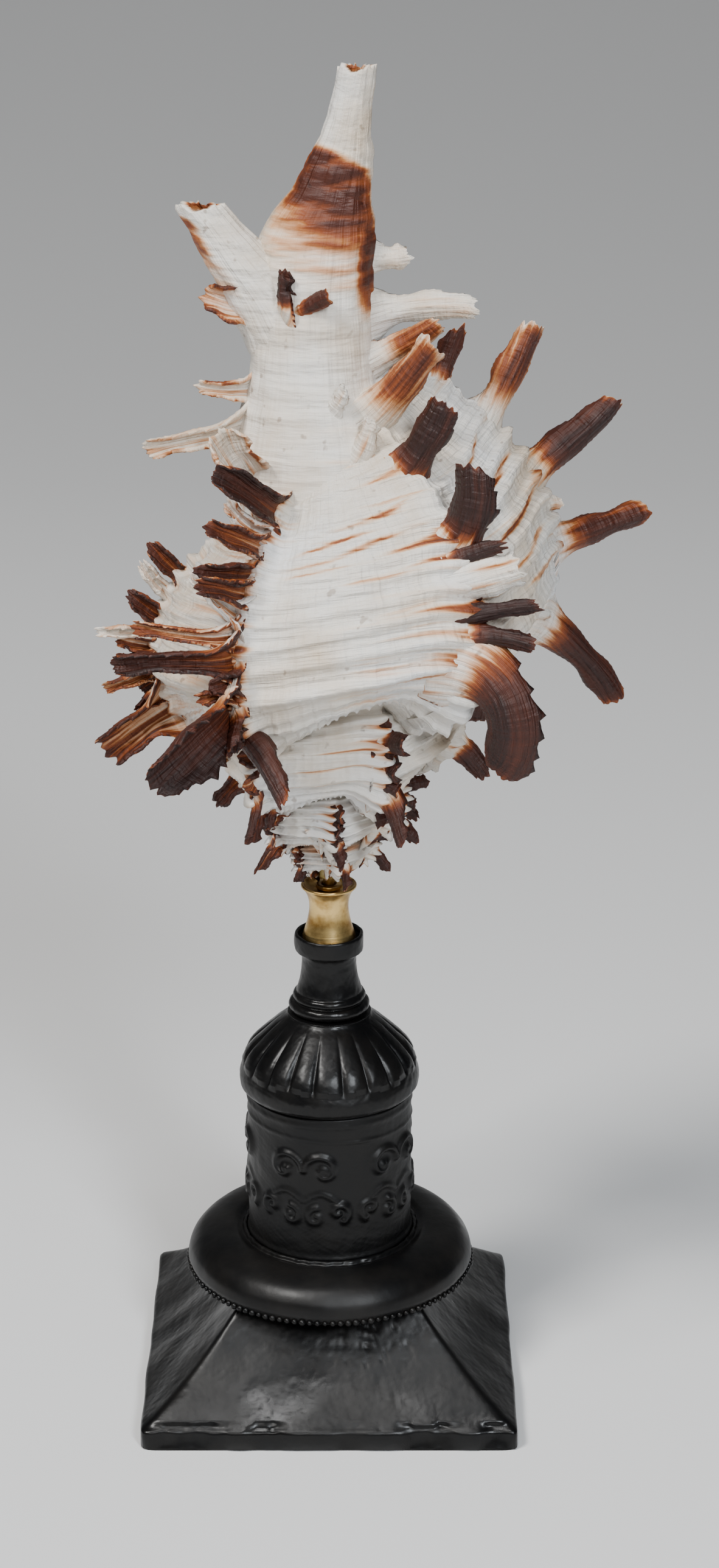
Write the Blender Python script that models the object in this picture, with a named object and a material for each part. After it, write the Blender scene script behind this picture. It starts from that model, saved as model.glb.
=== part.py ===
"""Murex shell standing apex down on a turned brass spool and a black painted stand.

The origin is the centre of the base's underside, +Z is up, and the shell's back faces -Y.
Every size below is in millimetres; MM turns it into metres when a mesh is made.
"""
import bpy
import bmesh
import math
import numpy as np

MM = 0.001
GAP = 0.3

# Stand, from the floor up: heights of the joints between the turned pieces, and their radii.
BASE_HALF = 27.5
PLINTH_HEIGHT = 3.0
BASE_TOP = 16.9
BASE_TOP_HALF = 12.6
FOOT_Z = (17.2, 22.3)
FOOT_RADIUS = 21.3
DRUM_Z = (22.6, 45.8)
DRUM_RADIUS = 12.2
DOME_Z = (46.1, 58.1)
DOME_RADIUS = 13.3
NECK_Z = (58.4, 70.4)
ROD_RADIUS = 1.5
ROD_Z = (6.0, 66.0)
SPOOL_Z = (69.6, 78.1)
PIN_RADIUS = 0.8
PIN_Z = (74.6, 85.5)
DISH_DEPTH = 0.95
GLUE_Z = (79.2, 81.3)
SOCKET_RADIUS = 2.2

# Shell: a right-handed spiral that grows by WHORL_GROWTH each turn, measured from its apex.
SHELL_APEX_Z = 75.0
WHORL_GROWTH = 1.7
LIP_ANGLE = 13.0
FIRST_ANGLE = -1390.0
ANGLE_STEP = 7.5
OUTLINE_POINTS = 41
VOXEL = 0.72
SHELL_TRIANGLES = 5600

# Outline of one whorl at full size, from its lower seam over the shoulder to the canal and back
# up the inside: distance from the axis, height above the apex.
WHORL_OUTLINE = (
    (16.0, 34.5), (22.0, 36.6), (27.5, 39.5), (30.6, 44.0), (31.2, 50.0), (30.4, 56.0),
    (28.0, 62.0), (23.5, 68.0), (17.5, 73.5), (12.0, 78.5), (8.5, 83.0), (3.0, 84.0),
    (1.0, 74.0), (2.0, 60.0), (5.0, 46.0), (10.0, 36.5),
)

# Between two varices the wall draws in below the shoulder, which leaves each varix as a wing.
WAIST_OUTLINE = (
    (14.0, 38.5), (20.0, 41.6), (24.6, 43.6), (28.4, 45.4), (30.6, 49.6), (30.4, 56.0),
) + WHORL_OUTLINE[6:]

# The hollow behind the lip: angle back from it, and how far the outline shrinks towards its middle.
HOLLOW_MIDDLE = (19.0, 56.5)
HOLLOW = (
    (0.2, 0.88), (1.6, 0.81), (4.0, 0.77), (9.0, 0.74), (20.0, 0.73), (32.0, 0.74), (46.0, 0.76),
    (60.0, 0.78), (76.0, 0.80), (92.0, 0.80), (104.0, 0.50),
)

# Each varix is a former lip, named by its angle round the spiral.
VARIX_ANGLES = (13, -47, -116, -185, -242, -298, -355, -422, -492, -560, -628, -690, -735, -805,
                -875, -945, -1015)
VARIX_RISE = 2.0
VARIX_BEFORE, VARIX_AFTER = 11.0, 4.0
WING_BEFORE, WING_AFTER = 9.0, 24.0
# The ridge rises only on the outside of the wall: above this height and farther out than this.
OUTSIDE_HEIGHT, OUTSIDE_RADIUS = 35.0, 12.0

# Fronds on the body whorl: height on the outline, length, lean at the root and at the tip
# (up towards the canal is positive), sweep round the axis, width, and how far it folds.
FRONDS = {
    13: (
        (76, 10, 64, 70, 10, 3.6, 100), (70, 17, 52, 66, 12, 4.8, 110), (62, 18, 30, 40, 10, 5.0, 110),
        (58, 5, 0, -10, 10, 2.4, 90), (52, 18, 4, 12, 14, 4.6, 120), (42, 21, -38, -60, 10, 5.2, 120),
    ),
    -47: (
        (74, 13, 50, 82, 20, 5.8, 95), (65.5, 13, 55, 100, 0, 7.4, 85), (63, 9, 26, 18, 25, 2.6, 100),
        (60, 10, 12, 24, 25, 6.4, 110), (56, 11, 0, 10, 40, 2.8, 110), (52.5, 10, 8, -16, 22, 3.2, 100),
        (48.5, 20, 0, -160, 4, 11.0, 72),
    ),
    -116: (
        (75, 16, 38, 30, -22, 4.6, 95), (70.5, 14, 30, 24, -20, 3.4, 100), (67.5, 13, 16, 10, -20, 3.2, 110),
        (64.5, 12, 24, 14, -20, 3.6, 100), (59, 16, 5, 1, -60, 2.4, 110), (55.5, 19, 2, -4, -58, 3.4, 110),
        (51.5, 7, 14, -10, -20, 3.6, 110), (47.5, 19, -10, -42, -22, 9.0, 80), (43, 15, -10, -75, 62, 4.0, 120),
    ),
    -185: (
        (65, 9, 50, 44, 15, 3.0, 100), (57, 8, 44, 36, 10, 3.2, 110), (51.5, 8, 14, 12, 10, 2.6, 110),
        (49, 8, 2, -4, 10, 3.4, 110), (45, 5, -20, -40, 5, 2.4, 110), (40.5, 14, -28, -46, 5, 6.0, 100),
    ),
}
# Each frond is a bent sheet: its thickness, how deep its root sits in the wall, how much wider the
# root and narrower the tip are than the middle, and the share of the fold it has at the root.
FROND_WALL = 0.85
FROND_ROOT = 1.6
ROOT_FLARE, ROOT_RUN, TIP_TAPER = 0.75, 0.14, 0.25
ROOT_FOLD = 0.62
# Fronds on the canal: height above the floor, side round the axis, length, leans, sweep, width, fold.
CANAL_FRONDS = (
    (163.0, 188, 9, 10, 26, 0, 5.0, 100), (152.0, 190, 9, 0, 10, 0, 2.6, 100),
    (146.5, 196, 15, 4, -16, 0, 3.4, 100), (139.0, 226, 13, 60, 52, -10, 6.4, 100),
    (169.5, -6, 7, -8, 10, 0, 3.2, 90), (161.5, -10, 16, 20, -8, 0, 4.0, 90),
    (155.5, -20, 13, 30, 38, 0, 3.8, 100), (147.5, -50, 17, 46, 60, 34, 5.4, 120),
    (143.0, -58, 9, 66, 84, 10, 3.4, 100),
    (164.0, 242, 7, 74, 88, 0, 2.6, 130), (163.0, 256, 8, 30, 34, 70, 2.6, 130),
    (150.5, -72, 6, 60, 70, 10, 2.6, 90),
)
# The varices behind and on the spire carry the same kinds of frond by rule: height, length and lean.
RULE_FRONDS = ((42.0, 15.0, -45.0), (50.0, 8.0, -8.0), (57.0, 11.0, 10.0), (64.0, 8.0, 26.0), (70.0, 9.0, 42.0))

# Canal: height above the floor, centre x and y, half width in x and in y.
CANAL = (
    (122.0, -2.0, -4.5, 4.5, 4.0), (127.0, -1.6, -4.6, 8.5, 6.4), (132.0, -1.2, -4.4, 11.6, 7.6),
    (138.0, -1.2, -4.0, 12.6, 8.2), (146.0, -1.5, -2.9, 10.9, 7.6), (154.0, -1.8, -1.4, 8.7, 6.9),
    (162.0, -2.0, -0.7, 8.2, 6.6), (168.0, -1.8, -0.4, 8.0, 5.8), (174.0, -0.9, -0.4, 7.2, 4.4),
    (178.5, 0.6, -0.2, 5.3, 3.5), (183.0, 1.9, 0.0, 4.2, 3.0), (188.0, 3.0, 0.0, 2.9, 2.5),
    (195.0, 4.2, 0.0, 2.5, 2.3),
)
OLD_CANAL = (
    (156.0, -3.5, -0.5, 6.8, 5.6), (163.0, -6.8, -0.8, 6.6, 5.0), (168.5, -10.8, -1.0, 5.2, 4.2),
    (173.0, -14.2, -1.2, 4.0, 3.3), (176.8, -16.9, -1.4, 3.2, 2.7),
)

for old in list(bpy.data.objects):
    bpy.data.objects.remove(old, do_unlink=True)


def material(name, colour, roughness, metallic=0.0):
    made = bpy.data.materials.new(name)
    made.use_nodes = True
    shader = made.node_tree.nodes["Principled BSDF"]
    shader.inputs["Base Color"].default_value = (*colour, 1.0)
    shader.inputs["Roughness"].default_value = roughness
    shader.inputs["Metallic"].default_value = metallic
    return made


def add_object(name, mesh, finish):
    node = bpy.data.objects.new(name, mesh)
    bpy.context.scene.collection.objects.link(node)
    mesh.materials.append(finish)
    return node


def mesh_of(name, points, faces):
    mesh = bpy.data.meshes.new(name)
    mesh.from_pydata((np.asarray(points) * MM).tolist(), [], faces)
    return mesh


def turned(name, profile, finish, sides=28):
    """A closed profile of (radius, height) points, counter-clockwise, turned round the Z axis."""
    profile = np.asarray(profile, float)
    turns = np.arange(sides) * 2 * math.pi / sides
    points = np.stack([
        np.outer(np.cos(turns), profile[:, 0]),
        np.outer(np.sin(turns), profile[:, 0]),
        np.tile(profile[:, 1], (sides, 1)),
    ], axis=-1).reshape(-1, 3)
    count = len(profile)
    faces = []
    for i in range(sides):
        for j in range(count):
            a, b = i * count + j, i * count + (j + 1) % count
            c, d = ((i + 1) % sides) * count + (j + 1) % count, ((i + 1) % sides) * count + j
            faces.append((a, d, c, b))
    mesh = mesh_of(name, points, faces)
    close_up(mesh)
    node = add_object(name, mesh, finish)
    mesh.shade_smooth()
    mesh.set_sharp_from_angle(angle=math.radians(35))
    return node


def close_up(mesh):
    """Merges what meets on the axis and turns all faces outward."""
    edit = bmesh.new()
    edit.from_mesh(mesh)
    bmesh.ops.remove_doubles(edit, verts=edit.verts, dist=1e-7)
    bmesh.ops.recalc_face_normals(edit, faces=edit.faces)
    edit.to_mesh(mesh)
    edit.free()


def smooth_line(points, count):
    """A Catmull-Rom line through the points."""
    points = np.asarray(points, float)
    last = len(points) - 1
    place = np.linspace(0, last, count)
    index = np.clip(place.astype(int), 0, last - 1)
    part = (place - index)[:, None]
    before, start = points[np.clip(index - 1, 0, last)], points[index]
    end, after = points[index + 1], points[np.clip(index + 2, 0, last)]
    return 0.5 * (
        2 * start + (end - before) * part
        + (2 * before - 5 * start + 4 * end - after) * part ** 2
        + (3 * start - before - 3 * end + after) * part ** 3
    )


def grid_faces(rows, columns):
    """Quads between the rows of a grid of points whose columns run round in a ring."""
    return [
        (i * columns + j, i * columns + (j + 1) % columns,
         (i + 1) * columns + (j + 1) % columns, (i + 1) * columns + j)
        for i in range(rows - 1) for j in range(columns)
    ]


def tube(rings):
    """Points and faces of a closed tube through a list of rings, each capped end a flat polygon."""
    rings = np.asarray(rings)
    rows, columns = rings.shape[:2]
    faces = grid_faces(rows, columns)
    faces.append(tuple(range(columns))[::-1])
    faces.append(tuple((rows - 1) * columns + j for j in range(columns)))
    return rings.reshape(-1, 3), faces


def growth(angle):
    """Size of the whorl at this angle round the spiral, against the full size at the lip."""
    return WHORL_GROWTH ** ((angle - LIP_ANGLE) / 360)


def outline_radius(height):
    outer = smooth_line(WHORL_OUTLINE[:11], 200)
    return np.interp(height, outer[:, 1], outer[:, 0])


def varix_rise(angle):
    """Height of the varix ridges: a slow rise before each former lip and a sharp drop after it."""
    away = angle - np.asarray(VARIX_ANGLES, float)
    return VARIX_RISE * np.exp(-(away / np.where(away < 0, VARIX_BEFORE, VARIX_AFTER)) ** 2).sum()


def outline_at(angle):
    """The outline at one angle: full at a varix and just after it, drawn in before the next."""
    away = angle - np.asarray(VARIX_ANGLES, float)
    full = np.exp(-(away / np.where(away > 0, WING_AFTER, WING_BEFORE)) ** 2).max()
    wide = smooth_line(WHORL_OUTLINE + WHORL_OUTLINE[:1], OUTLINE_POINTS)[:-1]
    drawn_in = smooth_line(WAIST_OUTLINE + WAIST_OUTLINE[:1], OUTLINE_POINTS)[:-1]
    return full * wide + (1 - full) * drawn_in


def ring_at(outline, angle):
    """An outline of (distance, height) placed at its angle and grown to its size."""
    ring = outline * growth(angle)
    turn = math.radians(angle)
    return np.stack([
        ring[:, 0] * math.cos(turn), ring[:, 0] * math.sin(turn), SHELL_APEX_Z + ring[:, 1]], axis=-1)


def whorl_body():
    """The wall of the whole spiral: out along its outside to the lip, and back along its hollow."""
    rings = []
    for angle in np.arange(FIRST_ANGLE, LIP_ANGLE + 1, ANGLE_STEP):
        outline = outline_at(angle)
        on_outside = (outline[:, 1] > OUTSIDE_HEIGHT) & (outline[:, 0] > OUTSIDE_RADIUS)
        outline[:, 0] += varix_rise(angle) * on_outside
        rings.append(ring_at(outline, angle))
    middle = np.array(HOLLOW_MIDDLE)
    for back, share in HOLLOW:
        angle = LIP_ANGLE - back
        rings.append(ring_at(middle + (outline_at(angle) - middle) * share, angle))
    return tube(rings)


def spout(sections, sides=20):
    """A tapering tube through elliptic sections given by height, centre and half widths."""
    line = smooth_line(sections, 4 * len(sections))
    turn = np.arange(sides) * 2 * math.pi / sides
    rings = np.stack([
        line[:, 1:2] + line[:, 3:4] * np.cos(turn),
        line[:, 2:3] + line[:, 4:5] * np.sin(turn),
        np.tile(line[:, 0:1], (1, sides)),
    ], axis=-1)
    return tube(rings)


def frond(root, angle, length, lean, lean_tip, sweep, width, fold, rows=9, half=5):
    """A folded leaf: an arc that opens towards the growing side, carried along a bending line."""
    turn = math.radians(angle)
    radial = np.array([math.cos(turn), math.sin(turn), 0.0])
    growing = np.array([-math.sin(turn), math.cos(turn), 0.0])
    up = np.array([0.0, 0.0, 1.0])
    along = np.linspace(0, 1, rows)
    leans = np.radians(lean + (lean_tip - lean) * along)
    side = math.radians(sweep)
    flat = math.cos(side) * radial + math.sin(side) * growing
    tangent = np.cos(leans)[:, None] * flat + np.sin(leans)[:, None] * up
    steps = (tangent[1:] + tangent[:-1]) / 2 * length / (rows - 1)
    line = root + np.vstack([np.zeros(3), np.cumsum(steps, axis=0)]) - tangent[0] * FROND_ROOT
    opening = math.cos(side) * growing - math.sin(side) * radial
    across = np.cross(tangent, opening)
    flare = 1.0 + ROOT_FLARE * np.exp(-along / ROOT_RUN) - TIP_TAPER * along
    radius = width / 2 * flare
    reach = math.radians(fold) * (ROOT_FOLD + (1 - ROOT_FOLD) * along)
    rings = []
    for i in range(rows):
        bend = np.linspace(-1, 1, half) * reach[i]
        rim = np.stack([np.sin(bend), -np.cos(bend)], axis=-1)
        outer, inner = rim * radius[i], (rim * max(radius[i] - FROND_WALL, 0.1))[::-1]
        ring = np.vstack([outer, inner])
        rings.append(line[i] + ring[:, :1] * across[i] + ring[:, 1:] * opening)
    return tube(rings)


def crest_point(height, angle):
    turn, size = math.radians(angle), growth(angle)
    radius = (outline_radius(height) + VARIX_RISE * 0.6) * size
    return np.array([radius * math.cos(turn), radius * math.sin(turn), SHELL_APEX_Z + height * size])


def canal_point(height, angle):
    sections = np.asarray(CANAL)
    x, y, wide, deep = (np.interp(height, sections[:, 0], sections[:, i]) for i in (1, 2, 3, 4))
    turn = math.radians(angle)
    return np.array([x + wide * math.cos(turn), y + deep * math.sin(turn), height])


def all_fronds():
    chance = np.random.default_rng(7)
    for angle in VARIX_ANGLES:
        size = growth(angle)
        if angle in FRONDS:
            for height, length, lean, tip, sweep, width, fold in FRONDS[angle]:
                yield frond(crest_point(height, angle), angle, length, lean, tip, sweep, width, fold)
            continue
        for height, length, lean in RULE_FRONDS:
            long = max(length * size ** 0.65 * chance.uniform(0.8, 1.15), 2.2)
            sweep = chance.uniform(-10, 20)
            width = max(5.4 * size ** 0.7, 1.9)
            buried = angle < -330 and height > 60
            if not buried:
                yield frond(crest_point(height, angle), angle, long, lean, lean * 1.3, sweep, width, 100)
    for height, angle, length, lean, tip, sweep, width, fold in CANAL_FRONDS:
        yield frond(canal_point(height, angle), angle, length, lean, tip, sweep, width, fold)


def largest_piece(mesh):
    """Drops loose crumbs, keeping the one closed skin with the most points."""
    edit = bmesh.new()
    edit.from_mesh(mesh)
    edit.verts.ensure_lookup_table()
    seen, pieces = set(), []
    for first in edit.verts:
        if first in seen:
            continue
        seen.add(first)
        piece, edge = [], [first]
        while edge:
            point = edge.pop()
            piece.append(point)
            for link in point.link_edges:
                other = link.other_vert(point)
                if other not in seen:
                    seen.add(other)
                    edge.append(other)
        pieces.append(piece)
    keep = set(max(pieces, key=len))
    bmesh.ops.delete(edit, geom=[v for v in edit.verts if v not in keep], context="VERTS")
    edit.to_mesh(mesh)
    edit.free()


def baked(node, mesh_name):
    """The node's mesh with its modifiers applied."""
    graph = bpy.context.evaluated_depsgraph_get()
    mesh = bpy.data.meshes.new_from_object(node.evaluated_get(graph), depsgraph=graph)
    mesh.name = mesh_name
    node.modifiers.clear()
    node.data = mesh
    return mesh


def cut_from(node, cutter):
    """Subtracts a helper shape, which stays out of the finished object."""
    cutter.hide_render = True
    cutter.display_type = "WIRE"
    cut = node.modifiers.new(cutter.name, "BOOLEAN")
    cut.operation = "DIFFERENCE"
    cut.solver = "EXACT"
    cut.object = cutter


def shell(finish):
    """All grown parts made one closed skin by a remesh, thinned, and socketed for the pin."""
    points, faces = [], []
    start = 0
    for part_points, part_faces in [whorl_body(), spout(CANAL), spout(OLD_CANAL, 14)] + list(all_fronds()):
        points.append(part_points)
        faces += [tuple(start + i for i in face) for face in part_faces]
        start += len(part_points)
    node = add_object("murex_shell", mesh_of("murex_grown", np.vstack(points), faces), finish)
    remesh = node.modifiers.new("one_skin", "REMESH")
    remesh.mode = "VOXEL"
    remesh.voxel_size = VOXEL * MM
    skin = baked(node, "murex_skin")
    largest_piece(skin)
    thin = node.modifiers.new("thin", "DECIMATE")
    thin.ratio = SHELL_TRIANGLES / (2 * len(skin.polygons))
    baked(node, "murex_thin")
    bore = PIN_RADIUS + GAP
    top = PIN_Z[1] + GAP
    socket = turned("apex_socket", (
        (0, 70.0), (SOCKET_RADIUS, 70.0), (SOCKET_RADIUS - 0.3, GLUE_Z[1] + 0.5), (bore, GLUE_Z[1] + 1.1),
        (bore, top), (0, top)), finish, 20)
    cut_from(node, socket)
    largest_piece(baked(node, "murex_shell"))


def square_base(finish):
    """Square rings from the floor up, hollowed slightly between plinth and top, with a blind bore."""
    levels = [(BASE_HALF, 0.0), (BASE_HALF, PLINTH_HEIGHT)]
    for part in np.linspace(0, 1, 9):
        hollow = 1.1 * math.sin(math.pi * part)
        half = BASE_HALF - 0.6 + (BASE_TOP_HALF - BASE_HALF + 0.6) * part - hollow
        levels.append((half, PLINTH_HEIGHT + 0.4 + (BASE_TOP - PLINTH_HEIGHT - 0.4) * part))
    corners = np.array([(1, -1), (1, 1), (-1, 1), (-1, -1)])
    rings = [np.c_[corners * half, np.full(4, height)] for half, height in levels]
    points, faces = tube(rings)
    node = add_object("square_base", mesh_of("square_base", points, faces), finish)
    close_up(node.data)
    bore_radius = ROD_RADIUS + GAP
    bore = turned("base_bore", (
        (0, ROD_Z[0] - GAP), (bore_radius, ROD_Z[0] - GAP), (bore_radius, BASE_TOP + 2), (0, BASE_TOP + 2)),
        finish, 24)
    cut_from(node, bore)


def arc(centre, radius, start, end, count):
    turn = np.radians(np.linspace(start, end, count))
    return [(centre[0] + radius * math.cos(a), centre[1] + radius * math.sin(a)) for a in turn]


def ring_piece(name, z, outside, finish, sides=28):
    """A turned piece bored through for the tie rod: outside lists (radius, height above its foot)."""
    low, high = z
    bore = ROD_RADIUS + GAP
    profile = [(bore, low)] + [(radius, low + above) for radius, above in outside] + [(bore, high)]
    turned(name, profile, finish, sides)


def round_foot(finish):
    """A fat cushion moulding, widest near the floor of the joint, with the drum's seat on top."""
    edge = FOOT_RADIUS
    ring_piece("round_foot", FOOT_Z, (
        (edge - 0.9, 0.0), (edge - 0.2, 0.5), (edge, 1.4), (edge - 0.5, 3.2), (edge - 1.9, 4.8),
        (edge - 4.2, 5.7), (edge - 6.6, 5.8), (DRUM_RADIUS + 1.0, FOOT_Z[1] - FOOT_Z[0])), finish, 36)


def relief_drum(finish):
    """A cylinder with a raised line near each end."""
    tall = DRUM_Z[1] - DRUM_Z[0]
    ring_piece("relief_drum", DRUM_Z, (
        (DRUM_RADIUS, 0.0), (DRUM_RADIUS + 0.35, 0.5), (DRUM_RADIUS, 1.1), (DRUM_RADIUS, tall - 2.2),
        (DRUM_RADIUS + 0.3, tall - 1.6), (DRUM_RADIUS, tall - 1.0), (DRUM_RADIUS, tall)), finish)


def fluted_dome(finish):
    """A bell: a rounded rim, then straight shoulders drawn in to the neck."""
    rim = DOME_RADIUS
    ring_piece("fluted_dome", DOME_Z, (
        (rim - 0.9, 0.0), (rim - 0.25, 0.5), (rim, 1.4), (rim - 0.1, 2.5), (rim - 0.6, 4.1), (rim - 1.3, 5.5),
        (rim - 2.3, 6.8), (rim - 3.3, 7.9), (rim - 4.6, 9.2), (rim - 5.9, 10.4), (rim - 7.1, 11.4),
        (rim - 7.5, 12.0)), finish, 36)


def stand_neck(finish):
    """Two rings, a waist, and a collar cupped round the spool's foot; the rod ends inside it."""
    low, high = NECK_Z
    bore = ROD_RADIUS + GAP
    seat = SPOOL_Z[0] - GAP
    rod_top = ROD_Z[1] + GAP
    waist, collar, cup = 4.2, 5.0, 4.25
    profile = [(bore, low), (5.5, low)] + arc((5.2, low + 0.8), 0.7, -70, 70, 5)
    profile += arc((4.6, low + 2.2), 0.6, -60, 60, 4)
    profile += [(4.55, low + 4.2), (waist, low + 6.4), (waist, low + 8.4), (collar - 0.1, low + 9.4)]
    profile += [(collar, low + 9.8), (collar, high - 0.3), (collar - 0.3, high), (cup, high)]
    profile += [(cup, seat), (0.0, seat), (0.0, rod_top), (bore, rod_top)]
    turned("stand_neck", profile, finish)


def brass_spool(finish):
    """A waisted spool with a thin lip and a dished top, bored for the pin."""
    low, high = SPOOL_Z
    bore = PIN_RADIUS + GAP
    seat = PIN_Z[0] - GAP
    dish = high - DISH_DEPTH
    profile = [(0, low), (3.75, low), (3.87, low + 0.3), (3.7, low + 1.0)]
    profile += [(3.05, low + 3.0), (2.83, low + 4.7), (3.1, low + 6.6), (3.7, low + 7.9)]
    profile += arc((3.86, high - 0.25), 0.2, -60, 90, 4)
    profile += [(3.0, high - 0.75), (2.2, dish), (bore, dish), (bore, seat), (0, seat)]
    turned("brass_spool", profile, finish)


def pin_bush(finish):
    bore = PIN_RADIUS + GAP
    low = SPOOL_Z[1] - DISH_DEPTH + GAP
    turned("pin_bush", (
        (bore, low), (1.9, low), (1.9, low + 0.45), (1.6, low + 0.6), (bore, low + 0.6)), finish, 20)


def rods(steel, brass):
    """The tie rod inside the stand, and the pin that carries the shell."""
    low, high = ROD_Z
    turned("tie_rod", ((0, low), (ROD_RADIUS, low), (ROD_RADIUS, high), (0, high)), steel, 12)
    low, high = PIN_Z
    turned("mount_pin", (
        (0, low), (PIN_RADIUS, low), (PIN_RADIUS, high - 0.5), (PIN_RADIUS - 0.4, high), (0, high)), brass, 12)


def glue_bead(finish):
    low, high = GLUE_Z
    bore = PIN_RADIUS + GAP
    turned("glue_bead", ((bore, low), (1.25, low), (1.55, low + 0.9), (1.55, high), (bore, high)), finish, 16)


def main():
    white = material("shell", (0.80, 0.76, 0.68), 0.45)
    black = material("black_paint", (0.012, 0.012, 0.013), 0.28)
    brass = material("brass", (0.72, 0.50, 0.20), 0.25, 1.0)
    steel = material("rod_steel", (0.45, 0.45, 0.46), 0.4, 1.0)
    amber = material("amber_glue", (0.55, 0.42, 0.16), 0.2)
    square_base(black)
    round_foot(black)
    relief_drum(black)
    fluted_dome(black)
    stand_neck(black)
    brass_spool(brass)
    pin_bush(brass)
    rods(steel, brass)
    shell(white)
    glue_bead(amber)


main()
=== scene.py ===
"""A murex shell standing apex down on a brass spool and a black painted stand.

Each section below makes one piece, or one group of like pieces, as surfaces worked out with numpy.
Sizes inside a section are in millimetres, and MM turns them into metres when a mesh is made.
"""
import math
import bmesh
import bpy
import numpy as np
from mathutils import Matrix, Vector


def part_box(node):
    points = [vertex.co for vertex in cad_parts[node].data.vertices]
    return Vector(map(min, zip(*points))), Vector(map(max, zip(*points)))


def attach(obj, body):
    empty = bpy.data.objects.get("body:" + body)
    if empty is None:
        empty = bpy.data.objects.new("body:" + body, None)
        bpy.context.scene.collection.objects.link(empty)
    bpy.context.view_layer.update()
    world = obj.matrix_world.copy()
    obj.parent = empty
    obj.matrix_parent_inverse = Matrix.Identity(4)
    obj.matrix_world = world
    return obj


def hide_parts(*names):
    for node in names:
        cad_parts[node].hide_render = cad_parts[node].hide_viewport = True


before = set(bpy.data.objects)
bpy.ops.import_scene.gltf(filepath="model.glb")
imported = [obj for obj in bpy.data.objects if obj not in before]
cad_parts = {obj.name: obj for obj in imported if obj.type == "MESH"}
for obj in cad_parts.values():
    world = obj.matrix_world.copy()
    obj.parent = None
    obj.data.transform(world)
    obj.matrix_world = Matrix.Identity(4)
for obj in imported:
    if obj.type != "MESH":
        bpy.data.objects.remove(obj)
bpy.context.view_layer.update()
MM = 0.001

# ----
# The room: a pale paper floor that runs up behind, and large soft lamps round the object.


def plain_material(name, colour, roughness):
    """One colour and one roughness, for the paper."""
    made = bpy.data.materials.new(name)
    made.use_nodes = True
    shader = made.node_tree.nodes["Principled BSDF"]
    shader.inputs["Base Color"].default_value = (*colour, 1.0)
    shader.inputs["Roughness"].default_value = roughness
    return made


def sweep_floor():
    """Floor and back wall as one sheet: flat, then a quarter circle of a wide radius, then upright."""
    across = np.linspace(-2.6, 2.6, 9)
    bend = np.radians(np.linspace(0, 90, 41))
    start, radius = 0.5, 1.6
    run = np.stack([start + radius * np.sin(bend), radius * (1 - np.cos(bend))], axis=-1)
    run = np.concatenate([[(-2.6, 0.0), (0.0, 0.0)], run, [(start + radius, radius + 1.0)]])
    points = np.stack([
        np.tile(across, (len(run), 1)), np.tile(run[:, :1], (1, 9)), np.tile(run[:, 1:], (1, 9))], axis=-1)
    faces = [(i * 9 + j, i * 9 + j + 1, (i + 1) * 9 + j + 1, (i + 1) * 9 + j)
             for i in range(len(run) - 1) for j in range(8)]
    mesh = bpy.data.meshes.new("paper_sweep")
    mesh.from_pydata(points.reshape(-1, 3).tolist(), [], faces)
    mesh.shade_smooth()
    sheet = bpy.data.objects.new("paper_sweep", mesh)
    bpy.context.scene.collection.objects.link(sheet)
    mesh.materials.append(plain_material("pale_paper", (0.72, 0.72, 0.72), 0.9))
    return sheet


sweep_floor()


def area_lamp(name, place, target, size, power, colour):
    """A rectangular soft lamp that faces the target."""
    data = bpy.data.lights.new(name, "AREA")
    data.shape = "RECTANGLE"
    data.size, data.size_y = size
    data.energy = power
    data.color = colour
    lamp = bpy.data.objects.new(name, data)
    bpy.context.scene.collection.objects.link(lamp)
    lamp.location = place
    lamp.rotation_euler = (Vector(target) - Vector(place)).to_track_quat("-Z", "Y").to_euler()


aim = (0.0, 0.0, 0.11)
area_lamp("key_softbox", (-0.46, -0.42, 0.88), aim, (0.26, 0.26), 11.0, (1.0, 0.985, 0.96))
area_lamp("window_strip", (0.26, -0.62, 0.56), aim, (0.12, 0.28), 5.5, (0.90, 0.95, 1.0))
area_lamp("front_window", (-0.04, -0.78, 0.60), aim, (0.30, 0.12), 1.2, (1.0, 0.98, 0.95))
area_lamp("top_fill", (-0.03, -0.25, 0.88), aim, (0.16, 0.12), 1.5, (1.0, 1.0, 1.0))

world = bpy.data.worlds.new("studio_air")
bpy.context.scene.world = world
world.use_nodes = True
world.node_tree.nodes["Background"].inputs["Color"].default_value = (0.80, 0.84, 0.90, 1.0)
world.node_tree.nodes["Background"].inputs["Strength"].default_value = 0.08

# The viewer stands in front and looks down on it.
LOOK_DOWN = math.radians(20.5)
EYE_DISTANCE = 0.480
LOOK_HEIGHT = 0.09335
camera_data = bpy.data.cameras.new("viewer")
camera_data.sensor_fit = "VERTICAL"
camera_data.sensor_height = 36.0
camera_data.lens = 76.9
camera = bpy.data.objects.new("viewer", camera_data)
bpy.context.scene.collection.objects.link(camera)
rise, away = EYE_DISTANCE * math.sin(LOOK_DOWN), EYE_DISTANCE * math.cos(LOOK_DOWN)
camera.location = (0.00445, -away, LOOK_HEIGHT + rise)
camera.rotation_euler = (math.radians(90) - LOOK_DOWN, 0.0, 0.0)
bpy.context.scene.camera = camera

# ----
# Square base: a low pyramid of cast iron, hollowed a little on each face, hammered all over and
# chipped along its bottom edge, then dipped in black gloss paint.


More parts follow.
